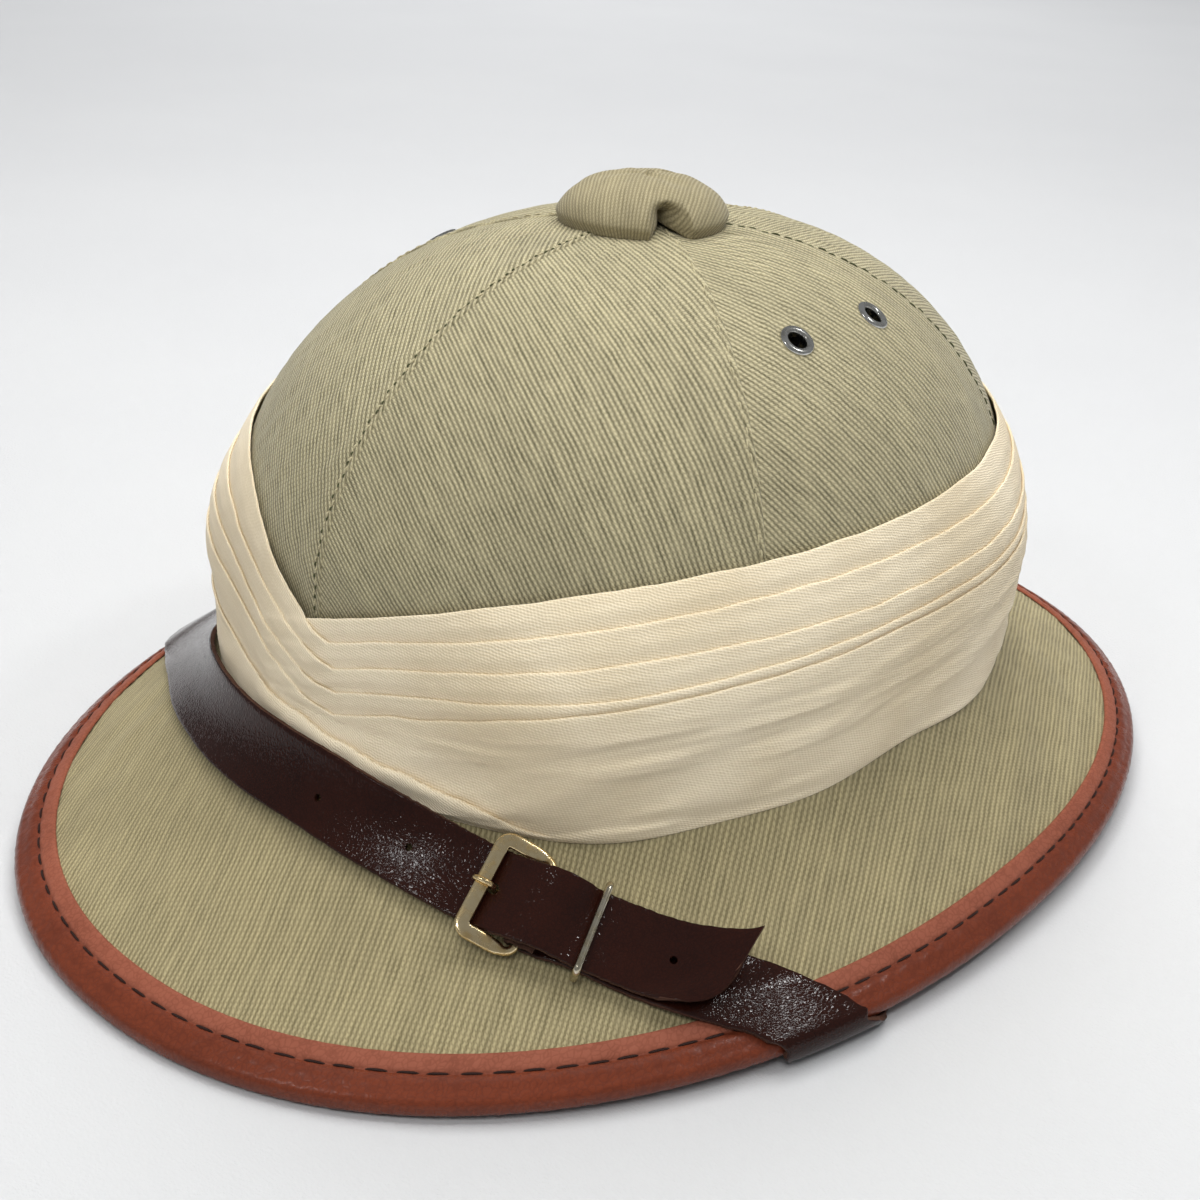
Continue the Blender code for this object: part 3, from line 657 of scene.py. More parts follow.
class SharedGroups:
    """The shader groups that several finishes use, each built once."""

    def __init__(self) -> None:
        """Build the groups."""
        self.twill = self.twill_group()
        self.grain = self.grain_group()
        self.mottle = self.mottle_group()

    @staticmethod
    def twill_group() -> bpy.types.NodeTree:
        """Round cords laid side by side, each twisted from finer yarn.

        Returns:
            A group with Height, ValleyShade and Thread outputs; ValleyShade is painted shade in the valleys
            between the cords.
        """
        bench, (cloth, pitch, twist, waver, fray), end = new_group(
            "twill_cords", {"Cloth": None, "Pitch": 1.5, "Twist": 1.6, "Waver": 0.25, "Fray": 0.3},
            ("Height", "ValleyShade", "Thread"))
        slow = bench.cloud(cloth, (0.11, 0.05, 1.0))
        quick = bench.cloud(cloth, (0.5, 0.9, 1.0))
        x, y, _ = bench.parts(cloth)
        across = x / pitch + ((slow - 0.5) * 3.0 + (quick - 0.5) * 1.1) * waver
        cord = bench.math("ABSOLUTE", bench.math("SINE", across * math.pi)) ** 2.2
        number = bench.math("FLOOR", across)
        slant = (y / twist + across * 0.5 + number * 0.37) * math.pi
        ply = bench.math("ABSOLUTE", bench.math("SINE", slant)) ** 0.8
        weft = bench.math("ABSOLUTE", bench.math("COSINE", slant)) ** 1.6
        fuzz = bench.cloud(cloth, (2.6, 1.4, 1.0), 3.0, 0.65)
        height = cord * (ply * 0.60 + 0.40) + (1.0 - cord) * weft * 0.44 + (fuzz - 0.5) * fray
        each = bench.out("TexWhiteNoise", {"W": number}, noise_dimensions="1D")
        streak = bench.noise(bench.out("CombineXYZ", {0: number, 1: y * 0.12}), 1.0, 1.0)
        # painted shade: the valleys between the cords are darkened, more deeply in some patches than in others
        valley_shade_patches = bench.cloud(cloth, (0.9, 0.16, 1.0))
        valley_shade = bench.spread(height, 0.16, 0.92, 1.0, 0.0) * bench.spread(valley_shade_patches, 0.25, 0.75, 0.66, 1.0)
        return bench.deliver(end, height, valley_shade, each * 0.4 + streak * 0.6)

    @staticmethod
    def grain_group() -> bpy.types.NodeTree:
        """Leather grain: small pebbles with creases between them, over softer wrinkles.

        Returns:
            A group with Height, Crease and Shade outputs.
        """
        bench, (cloth, pebble, wrinkle), end = new_group(
            "leather_grain", {"Cloth": None, "Pebble": 1.1, "Wrinkle": 6.0}, ("Height", "Crease", "Shade"))
        bend = bench.out("TexNoise", {"Vector": cloth, "Scale": 0.5, "Detail": 2.0}, 1)
        swirl = bench.grown(bench.vector("SUBTRACT", bend, (0.5, 0.5, 0.5)), 1.6)
        place = bench.vector("ADD", cloth, swirl)
        fine = bench.out("TexVoronoi", {"Vector": place, "Scale": 1.0 / pebble}, feature="DISTANCE_TO_EDGE")
        fold = bench.noise(bench.grown(place, 1.0 / wrinkle), 1.0, 4.0, 0.6)
        dust = bench.noise(place, 3.2, 2.0, 0.6)
        height = bench.spread(fine, 0.0, 0.35, 0.0, 0.55) + fold * 1.1 + dust * 0.22
        return bench.deliver(end, height, bench.spread(fine, 0.0, 0.16, 1.0, 0.0), fold)

    @staticmethod
    def mottle_group() -> bpy.types.NodeTree:
        """Slow patches of light and dark over a surface.

        Returns:
            A group with a Patch output.
        """
        bench, (place, size), end = new_group("mottle", {"Place": None, "Size": 0.04}, ("Patch",))
        return bench.deliver(end, bench.spread(bench.noise(bench.grown(place, 1.0 / size), 1.0, 3.0), 0.3, 0.7))


class Ground(Bench):
    """A material's bench, with the places on its surface."""

    def __init__(self, tree: bpy.types.NodeTree) -> None:
        """Read the place on the flat material, in millimetres, and the place in the room, in metres.

        Args:
            tree: the material's tree.
        """
        super().__init__(tree)
        self.cloth = self.vector("MULTIPLY", self.out("UVMap", uv_map="cloth"), (1000.0, 1000.0, 1000.0))
        self.place = self.out("TexCoord", output="Object")


@dataclass(frozen=True)
class Surface:
    """What a finish gives its shader: what changes over the surface, and plain values by socket."""

    colour: Signal
    roughness: Signal
    height: Signal
    relief: float
    plain: dict[str, float]


@dataclass(frozen=True)
class Finish:
    """A finish: each kind mixes its own surface, and they are all made in one way."""

    groups: ClassVar[SharedGroups]
    name: str

    def mix(self, ground: Ground) -> Surface:
        """Mix the surface on a material's bench."""
        raise NotImplementedError

    def make(self) -> Material:
        """Build the material.

        Returns:
            The material, with its surface fed to its Principled BSDF.
        """
        material = bpy.data.materials.new(self.name)
        material.use_nodes = True
        shader = material.node_tree.nodes["Principled BSDF"]
        ground = Ground(material.node_tree)
        mixed = self.mix(ground)
        bump = ground.out("Bump", {"Height": mixed.height, "Distance": mixed.relief, "Strength": 1.0})
        fed = {"Base Color": mixed.colour, "Roughness": mixed.roughness, "Normal": bump, **mixed.plain}
        for socket, value in fed.items():
            ground.feed(shader.inputs[socket], value)
        return material


@dataclass(frozen=True)
class Twill(Finish):
    """Woven cotton with raised cords."""

    light: Colour
    dark: Colour
    pitch: float = 0.96
    twist: float = 1.10
    waver: float = 0.26
    relief: float = 0.00020
    valley_shade: float = 0.95
    thread: float = 0.34
    patch: float = 0.10
    fray: float = 0.62
    roughness: float = 0.42
    sheen: float = 0.12

    def mix(self, ground: Ground) -> Surface:
        """Light cords over dark valleys, whose darkness is painted shade between the cords.

        Args:
            ground: the material's bench.

        Returns:
            The surface.
        """
        height, valley_shade, thread = ground.group(self.groups.twill, Cloth=ground.cloth, Pitch=self.pitch,
                                              Twist=self.twist, Waver=self.waver, Fray=self.fray)
        patch, = ground.group(self.groups.mottle, Place=ground.place, Size=0.03)
        # painted shade laid into the valleys between the cords
        deep = ground.math("MULTIPLY", valley_shade, self.valley_shade, clamp=True)
        tone = thread * self.thread + (1.0 - self.thread * 0.5) + (patch - 0.5) * self.patch
        shade = ground.out("CombineColor", {0: tone, 1: tone, 2: tone})
        colour = ground.blend(1.0, ground.blend(deep, srgb(self.light), srgb(self.dark)), shade, "MULTIPLY")
        return Surface(colour, ground.spread(height, 0.0, 1.0, 0.97, self.roughness), height, self.relief,
                       {"Specular IOR Level": 0.5, "Sheen Weight": self.sheen, "Sheen Roughness": 0.5})


@dataclass(frozen=True)
class PlainCloth(Finish):
    """Plain or finely ribbed cotton, woven over and under."""

    light: Colour
    dark: Colour
    pitch: float = 0.68
    slant: float = -0.32
    relief: float = 0.00011
    depth: float = 0.75
    patch: float = 0.40
    roughness: float = 0.92
    sheen: float = 0.15

    def mix(self, ground: Ground) -> Surface:
        """Ribs and cross threads with slubs and a little fuzz; the colour darkens where the weave and its fuzz lie
        low, which is painted shade, and varies with the slubs and slow patches of its own tone.

        Args:
            ground: the material's bench.

        Returns:
            The surface.
        """
        x, y, _ = ground.parts(ground.cloth)
        soft = ground.cloud(ground.cloth, (0.22, 0.22, 1.0))
        lean = (x * self.slant + y) / self.pitch + soft * 1.6
        warp = ground.math("SINE", lean * (2.0 * math.pi))
        cross = ground.math("SINE", (x - y * 0.35) * (2.0 * math.pi / (self.pitch * 1.15)))
        fuzz = ground.cloud(ground.cloth, (1.1, 3.2, 1.0), 3.0, 0.7)
        slub = ground.cloud(ground.cloth, (0.12, 2.2, 1.0))
        height = warp * 0.34 + cross * 0.22 + fuzz * 0.9
        patch, = ground.group(self.groups.mottle, Place=ground.place, Size=0.05)
        tone = height * 0.55 + slub * 0.40 + (patch - 0.5) * self.patch
        # painted shade: the low places of the weave and fuzz are darker; the slubs and patches are the cloth's own
        # tone
        share = ground.math("MULTIPLY", ground.spread(tone, 0.1, 0.95, 1.0, 0.0), self.depth, clamp=True)
        return Surface(ground.blend(share, srgb(self.light), srgb(self.dark)),
                       ground.spread(tone, 0.0, 1.0, 0.98, self.roughness), height, self.relief,
                       {"Specular IOR Level": 0.2, "Sheen Weight": self.sheen, "Sheen Roughness": 0.5})


@dataclass(frozen=True)
class Leather(Finish):
    """Dyed leather with grain, darker in the creases between its pebbles, and a dressed or a raw face."""

    light: Colour
    dark: Colour
    pebble: float = 1.1
    wrinkle: float = 6.0
    relief: float = 0.00016
    gloss: tuple[float, float] = (0.22, 0.5)
    specular: float = 0.5
    matte_to: float = 0.0
    strip_sheen: Colour = (0.0, 0.0, 0.0)

    def mix(self, ground: Ground) -> Surface:
        """Dark creases and patches, and, where matte_to is given, a rough strip along one edge painted paler, a
        painted sheen.

        Args:
            ground: the material's bench.

        Returns:
            The surface.
        """
        height, crease, fold = ground.group(self.groups.grain, Cloth=ground.cloth, Pebble=self.pebble,
                                            Wrinkle=self.wrinkle)
        patch, = ground.group(self.groups.mottle, Place=ground.place, Size=0.02)
        share = ground.math("ADD", crease * 0.35 + fold * 0.5, patch * 0.25, clamp=True)
        colour = ground.blend(share, srgb(self.light), srgb(self.dark))
        rough = ground.spread(share, 0.1, 0.9, *self.gloss)
        # painted sheen: the rough inner strip is painted paler and pinker than the rest of the leather
        if self.matte_to:
            across = ground.parts(ground.cloth)[0]
            inner = ground.spread(across + fold * 0.5, self.matte_to - 0.3, self.matte_to + 0.6, 1.0, 0.0)
            colour = ground.blend(inner, colour, ground.blend(share * 0.6, srgb(self.strip_sheen), colour))
            rough = ground.math("ADD", inner * 0.30, rough, clamp=True)
        return Surface(colour, rough, height, self.relief, {"Specular IOR Level": self.specular})


@dataclass(frozen=True)
class Metal(Finish):
    """Plated metal with fine scratches and a little dulling."""

    bright: Colour
    dull: Colour
    gloss: tuple[float, float] = (0.16, 0.34)
    relief: float = 0.00001

    def mix(self, ground: Ground) -> Surface:
        """Stains that dull the plating, and scratches.

        Args:
            ground: the material's bench.

        Returns:
            The surface.
        """
        scratch = ground.cloud(ground.place, (900.0, 3200.0, 1500.0))
        stain = ground.spread(ground.noise(ground.place, 420.0, 3.0), 0.35, 0.75)
        return Surface(ground.blend(stain, srgb(self.bright), srgb(self.dull)),
                       ground.spread(stain * 0.6 + scratch * 0.4, 0.1, 0.9, *self.gloss), scratch, self.relief,
                       {"Metallic": 1.0})


@dataclass(frozen=True)
class Thread(Finish):
    """Twisted sewing thread."""

    light: Colour
    dark: Colour
    twist: float = 0.5
    relief: float = 0.00008

    def mix(self, ground: Ground) -> Surface:
        """Plies that turn round the thread, with fuzz; the colour darkens in the grooves between the plies, which
        is painted shade.

        Args:
            ground: the material's bench.

        Returns:
            The surface.
        """
        x, y, _ = ground.parts(ground.cloth)
        ply = ground.math("ABSOLUTE", ground.math("SINE", (x * 1.2 + y) * (math.pi / self.twist)))
        tone = ply * 0.6 + ground.noise(ground.place, 2600.0, 2.0) * 0.4
        # painted shade: the colour follows the height, darker in the grooves between the plies
        return Surface(ground.blend(tone, srgb(self.dark), srgb(self.light)),
                       ground.spread(tone, 0.0, 1.0, 0.9, 0.7), tone, self.relief, {})


@dataclass(frozen=True)
class FloorCloth(Finish):
    """A pale smooth cloth with a hint of weave."""

    light: Colour = (205.0, 206.0, 207.0)
    dark: Colour = (197.0, 198.0, 200.0)
    relief: float = 0.0002

    def mix(self, ground: Ground) -> Surface:
        """Weave over slow patches.

        Args:
            ground: the material's bench.

        Returns:
            The surface.
        """
        weave = ground.cloud(ground.place, (900.0, 1300.0, 1.0), 3.0, 0.6)
        tone = weave * 0.3 + ground.noise(ground.place, 5.0, 2.0) * 0.7
        return Surface(ground.blend(tone, srgb(self.dark), srgb(self.light)),
                       ground.spread(weave, 0.0, 1.0, 0.95, 0.85), weave, self.relief,
                       {"Specular IOR Level": 0.2})


# ---------------------------------------------------------------- crown and brim
class SeamLook(Enum):
    """How a seam's thread shows."""

    PALE = "pale dashes"
    MIXED = "dark and pale dots in turn"
    DARK = "a dark zigzag"


@dataclass(frozen=True)
class Seam:
    """A seam down the crown, sewn with thread that shows on the outside."""

    angle: float
    look: SeamLook
    stitch: float = 0.0031


@dataclass
class CrownCover:
    """Six panels of twill over the pith dome, lapped and sewn at their seams, with a plain lining inside."""

    seams: tuple[Seam, ...] = (
        Seam(-123.0, SeamLook.DARK), Seam(-61.5, SeamLook.PALE), Seam(0.0, SeamLook.MIXED, 0.0027),
        Seam(61.5, SeamLook.PALE), Seam(123.0, SeamLook.DARK), Seam(180.0, SeamLook.PALE))
    flatten: float = 0.64
    leans: tuple[float, ...] = (24.0, 24.0, 45.0, 30.0, 16.0, 30.0)
    lap: float = 0.0016
    lap_lift: float = 0.00042
    puff: float = 0.00035
    columns: int = 84
    rows: int = 112
    top_share: float = 0.985
    arc: float = 0.078
    foot_gap: float = 0.0002
    proud: float = 0.00015
    mean_radius: float = 0.1
    hole_radius: float = 0.0033
    hole_depth: float = 0.012

    def heights(self, low: float) -> Array:
        """Heights of the rows, close together near the top where the dome is flat.

        Args:
            low: the lowest.

        Returns:
            The heights, upward.
        """
        share = np.linspace(0.0, 1.0, self.rows)
        wall = FORM.dome_z - low
        run = share * (wall + self.arc)
        turn = np.clip((run - wall) / self.arc, 0.0, 1.0) * math.pi / 2 * self.top_share
        rise = np.sin(turn) ** (2.0 / FORM.height_power)
        return np.where(run < wall, low + run, FORM.dome_z + (FORM.top_z - FORM.dome_z) * rise)

    def panel(self, start: float, end: float, lean: float) -> tuple[Array, Array]:
        """One panel from under its first seam to over its last.

        Args:
            start: the first seam's angle.
            end: the last seam's angle.
            lean: how far the cords lean from the middle of the panel, in degrees.

        Returns:
            The grid of points and the grid of places on the cloth.
        """
        heights = self.heights(FORM.join_z - self.foot_gap)[:, None]
        wide = np.maximum(FORM.degree(end, heights), 0.0004)
        last = end + np.minimum(self.lap / wide, 6.0)
        share = np.linspace(0.0, 1.0, self.columns)[None]
        share = np.concatenate([share[:, :-4], np.array([[0.966, 0.976, 0.985, 0.991, 0.9955, 0.9985, 1.0]])], 1)
        share = np.sort(share, 1)
        angle = start + (last - start) * share
        near = (angle - start) * wide
        far = (last - angle) * wide
        ripple = Ripple(int(abs(start)) + 3)
        puffed = self.puff * ramp(near, 0.0, 0.02) * ramp(far, 0.0, 0.02)
        lift = self.lap_lift * (1.0 - ramp(far, 0.003, 0.010)) + puffed
        lift = lift - 0.00016 * hump(far, self.lap, 0.0009)
        lift = lift - (self.lap_lift + 0.00012) * (1.0 - ramp(far, -0.0001, 0.00045))
        lift = lift + 0.00010 * ripple.at(angle / 7.0, heights / 0.012) * ramp(near, 0.0, 0.01)
        pucker = hump(far, self.lap, 0.0035) * 0.00007
        lift = lift + pucker * np.sin(heights / self.seams[0].stitch * 2.0 * math.pi)
        station = FORM.join_z - heights
        points = FORM.skin(angle, np.minimum(station, -FORM.probe), lift + self.proud)
        rise = np.linalg.norm(np.diff(points, axis=0), axis=-1)
        down = np.concatenate([np.cumsum(rise[::-1], 0)[::-1], np.zeros((1, rise.shape[1]))]) + 0.004
        turn = np.radians(self.flatten * (angle - (start + end) / 2))
        return points, leaned(down * np.sin(turn), -down * np.cos(turn), lean)

    def build(self, cover: Material, lining: Material, holes: Sequence[Matrix]) -> None:
        """The cover and the lining as one piece.

        Args:
            cover: the outside's material.
            lining: the inside's material.
            holes: where the eyelets sit.
        """
        mesh = MeshBuilder()
        angles = [seam.angle for seam in self.seams]
        for start, end, lean in zip([angles[-1] - 360.0] + angles[:-1], angles, self.leans):
            mesh.grid(*self.panel(start, end, lean))
        heights = self.heights(FORM.join_z - self.foot_gap)[:, None]
        around = np.linspace(-180.0, 180.0, 121)[None]
        station = np.minimum(FORM.join_z - heights, -FORM.probe)
        inside = FORM.skin(around, station, np.full((len(heights), 121), -FORM.wall))
        cloth = np.stack(np.broadcast_arrays(np.radians(around) * self.mean_radius, heights), -1)
        mesh.grid(inside, cloth, slot=1, flip=True)
        mesh.cap(inside[-1, :-1], slot=1, flip=True)
        piece = mesh.build("crown_cover", [cover, lining])
        self.punch(piece.data, holes)
        settle(piece, "khaki_twill", "crown")

    def punch(self, mesh: bpy.types.Mesh, holes: Sequence[Matrix]) -> None:
        """Open the cover and the lining where the eyelets sit.

        Args:
            mesh: the cover's mesh.
            holes: placements on the outer face, with Z along each hole.
        """
        shape = bmesh.new()
        shape.from_mesh(mesh)
        centres = np.array([face.calc_center_median() for face in shape.faces])
        gone = np.zeros(len(centres), bool)
        for hole in holes:
            near = moved(centres, hole.inverted())
            gone |= (np.hypot(near[:, 0], near[:, 1]) < self.hole_radius) & (np.abs(near[:, 2]) < self.hole_depth)
        shape.faces.ensure_lookup_table()
        bmesh.ops.delete(shape, geom=[shape.faces[index] for index in np.flatnonzero(gone)], context="FACES")
        shape.to_mesh(mesh)
        shape.free()

    def stitches(self, threads: dict[str, Material]) -> None:
        """Rows of thread along the seams, one piece for each kind of thread.

        Args:
            threads: thread materials by name.
        """
        pale, dark = MeshBuilder(), MeshBuilder()
        kinds = {SeamLook.PALE: ((pale, 0.0, 0.72),), SeamLook.DARK: ((dark, 0.0, 0.80),),
                 SeamLook.MIXED: ((pale, 0.0, 0.50), (dark, 0.56, 0.38))}
        fine = self.heights(FORM.join_z + 0.012)
        for seam in self.seams:
            line = FORM.skin(seam.angle, FORM.join_z - fine, 0.00045)
            run = run_along(line)
            for number in range(int(run[-1] / seam.stitch)):
                begin = number * seam.stitch + 0.0002 * math.sin(number * 2.7)
                for mesh, offset, share in kinds[seam.look]:
                    ends = begin + seam.stitch * (offset + np.array([0.0, share]))
                    heights = np.interp(np.linspace(*ends, 6), run, fine)
                    side = 0.00035 * math.sin(number * 1.9 + offset * 5.0)
                    if seam.look is SeamLook.DARK:
                        side += 0.0004 * (-1) ** number
                    wide = np.maximum(FORM.degree(seam.angle, heights), 0.0003)
                    rise = 0.00034 * np.sin(np.linspace(0.0, math.pi, 6)) ** 0.5 + 0.00028
                    path = FORM.skin(seam.angle + side / wide, FORM.join_z - heights, rise)
                    mesh.tube(path, 0.00022 * np.array([0.5, 0.9, 1.0, 1.0, 0.9, 0.5]), 6)
        for mesh, kind in ((pale, "pale"), (dark, "dark")):
            settle(mesh.build(f"crown_stitches_{kind}", [threads[kind]]), "khaki_twill")


@dataclass
class BrimCover:
    """One cloth over the brim and one under it, joined at the back."""

    columns: int = 420
    rows: int = 96
    lean: float = 24.5
    proud: float = 0.00008

    def cloth(self, points: Array) -> Array:
        """Places on the flat cloth, whose cords run straight across the whole brim."""
        return leaned(points[..., 0], points[..., 1], self.lean)

    def build(self, cover: Material, lining: Material) -> None:
        """Both faces as one piece.

        Args:
            cover: the upper cloth's material.
            lining: the lower cloth's material.
        """
        mesh = MeshBuilder()
        angle = np.linspace(-180.0, 180.0, self.columns + 1)[None]
        reach = np.concatenate([np.linspace(0.0, 0.12, 16)[:-1], np.linspace(0.12, 1.0, self.rows - 15)])[:, None]
        ripple = Ripple(11)
        lift = 0.00022 * ripple.at(angle / 13.0, reach * 2.2) * ramp(reach, 0.1, 0.3)
        lift = lift + 0.00016 * np.sin(angle * 2.9 + 2.0 * np.sin(angle * 0.31)) * ramp(reach, 0.72, 0.84)
        lift = lift * (1.0 - ramp(reach, 0.86, 0.90)) + self.proud
        top = FORM.skin(angle, reach, lift)
        below = FORM.skin(angle, reach, np.full_like(lift, -FORM.brim_wall))
        mesh.grid(top, self.cloth(top), flip=True)
        mesh.grid(below, self.cloth(below), slot=1)
        mesh.grid(np.stack([top[-1], below[-1]]), slot=1, flip=True)
        settle(mesh.build("brim_cover", [cover, lining]), "khaki_twill", "brim")


# ---------------------------------------------------------------- binding
@dataclass
class RimBinding:
    """Leather folded over the rim: a flat inner strip, a sewn groove and a smooth rolled edge."""

    columns: int = 1320
    reach: float = 0.0100
    groove: float = 0.0047
    groove_depth: float = 0.00045
    pitch: float = 0.0068
    dash: float = 0.0053
    thread: float = 0.00030
    rolled: float = 0.0094
    mean_radius: float = 0.155

    def section(self, angle: Array) -> tuple[Array, Array]:
        """The closed section at each angle, from the slot over the top, round the rim and back underneath.

        Args:
            angle: round the hat, in degrees, shaped (1, columns).

        Returns:
            Points and the distance across the leather, in metres, from the inner edge on top.
        """
        run, outside = FORM.brim_run(angle), FORM.binding_face
        spots = [(0.0, FORM.gap + 0.0001), (0.0, 0.0007), (0.00015, 0.0011), (0.0005, outside)]
        spots += [(x, outside) for x in (0.0012, 0.0024, 0.0034, 0.0041, 0.0044, 0.0047, 0.0050, 0.0054, 0.0062,
                                         0.0072, 0.0082, 0.0091)]
        ripple = Ripple(5, 12)
        phase = self.phase(angle)
        rows, across = [], []
        for distance, offset in spots:
            reach = 1.0 - (self.reach - distance) / run
            lift = offset + 0.00007 * ripple.at(angle / 2.0, distance / 0.004)
            if offset == outside:
                dent = self.groove_depth * hump(distance, self.groove, 0.00045)
                swell = 0.00035 * hump(distance - self.groove, 0.0022, 0.0015)
                bow = 0.00012 * hump(distance, 0.0026, 0.0014)
                pucker = 0.00013 * hump(distance, self.groove, 0.0020)
                lift = lift - dent + (swell + bow) - pucker * np.cos(2.0 * math.pi * phase)
            rows.append(FORM.skin(angle, reach, lift))
            across.append(distance)
        for step in range(15):
            rows.append(FORM.wrap(angle, 1.0 + step / 14.0, 0.00006 * ripple.at(angle / 2.0, step / 5.0)))
            across.append(self.reach + self.rolled * step / 14.0)
        for distance in (0.0088, 0.0070, 0.0054, 0.0050, 0.0047, 0.0044, 0.0040, 0.0024, 0.0008, 0.0):
            reach = 1.0 - (self.reach - distance) / run
            dent = self.groove_depth * hump(distance, self.groove, 0.0005)
            end = FORM.gap + 0.0001 if distance == 0.0 else outside
            rows.append(FORM.skin(angle, reach, -FORM.brim_wall - end + dent * np.ones_like(angle)))
            across.append(2.0 * self.reach + self.rolled - distance)
        points = np.stack([row[0] for row in rows])
        points[..., 2] = np.maximum(points[..., 2], 0.0)
        return points, np.array(across)

    def phase(self, angle: Array) -> Array:
        """Stitch number at each angle, counted round the hat.

        Args:
            angle: round the hat, in degrees.

        Returns:
            Numbers that run on between the stitches.
        """
        fine = np.linspace(-180.0, 180.0, 2401)
        run = run_along(FORM.brim(fine, 0.94))
        count = round(run[-1] / self.pitch)
        return np.interp(angle, fine, run / run[-1] * count)

    def build(self, leather: Material) -> None:
        """The leather as one closed ring.

        Args:
            leather: its material.
        """
        mesh = MeshBuilder()
        angle = np.linspace(-180.0, 180.0, self.columns + 1)[None]
        points, across = self.section(angle)
        length = np.radians(angle[0]) * self.mean_radius
        cloth = np.stack(np.broadcast_arrays(across[:, None], length[None]), -1)
        mesh.grid(points, cloth, flip=True)
        settle(mesh.build("rim_binding_leather", [leather]), "tan_leather", "rim_binding")

    def stitches(self, thread: Material) -> None:
        """The long dashes of thread in the groove, above and below.

        Args:
            thread: their material.
        """
        mesh = MeshBuilder()
        fine = np.linspace(-180.0, 180.0, 2401)
        phase = self.phase(fine)
        run, outside = FORM.brim_run(fine), FORM.binding_face
        rise = np.array([-0.00055, -0.0001, 0.00012, 0.00018, 0.00018, 0.00012, -0.0001, -0.00055])
        share = self.dash / self.pitch
        for number in range(int(round(phase[-1]))):
            middle = number + 0.5
            spread = np.linspace(-share / 2, share / 2, 8)
            spots = np.interp(middle + spread + 0.03 * math.sin(number * 2.1), phase, fine)
            inward = self.reach - self.groove - 0.00008 * math.sin(number * 1.3)
            reach = 1.0 - inward / np.interp(spots, fine, run)
            top = FORM.skin(spots, reach, outside - self.groove_depth * 0.55 + rise)
            mesh.tube(top, self.thread * np.array([0.6, 0.9, 1.0, 1.0, 1.0, 1.0, 0.9, 0.6]), 8)
            low = FORM.skin(spots, reach, -FORM.brim_wall - outside + self.groove_depth * 0.6 - rise)
            low[:, 2] = np.maximum(low[:, 2], self.thread)
            mesh.tube(low, self.thread * 0.8, 6)
        settle(mesh.build("rim_binding_stitches", [thread]), "tan_leather")


# ---------------------------------------------------------------- cloth band
# height of the crown's foot, in millimetres
CROWN_FOOT = 55.7


@dataclass(frozen=True)
class Fold:
    """The upper edge of one fold of the band, from its hidden end at the front, round the back to its other end.

    Each row is an angle that runs on past 360 and a place in millimetres: up the crown where negative, down the
    brim where positive.
    """

    edge: tuple[tuple[float, float], ...]

    def at(self, angle: Array) -> Array:
        """Places of the edge, in metres."""
        return curve_through(self.edge, angle) / 1000.0


def band_top(angle: Array) -> Array:
    """Height of the band's upper edge at angles from 0 to 360.

    Args:
        angle: round the hat, in degrees.

    Returns:
        Heights above the table.
    """
    turn = from_front(angle)
    left = np.exp(-np.maximum(turn, 0.0) / 40.0)
    right = np.exp(-(np.maximum(-turn, 0.0) / 17.0) ** 1.3)
    return 0.1060 - 0.0255 * np.where(turn >= 0.0, left, right)


def heights_to_places(table: Sequence[tuple[float, float]]) -> tuple[tuple[float, float], ...]:
    """Rows of (angle, height in mm) as rows of (angle, place in mm)."""
    return tuple((angle, CROWN_FOOT - height) for angle, height in table)


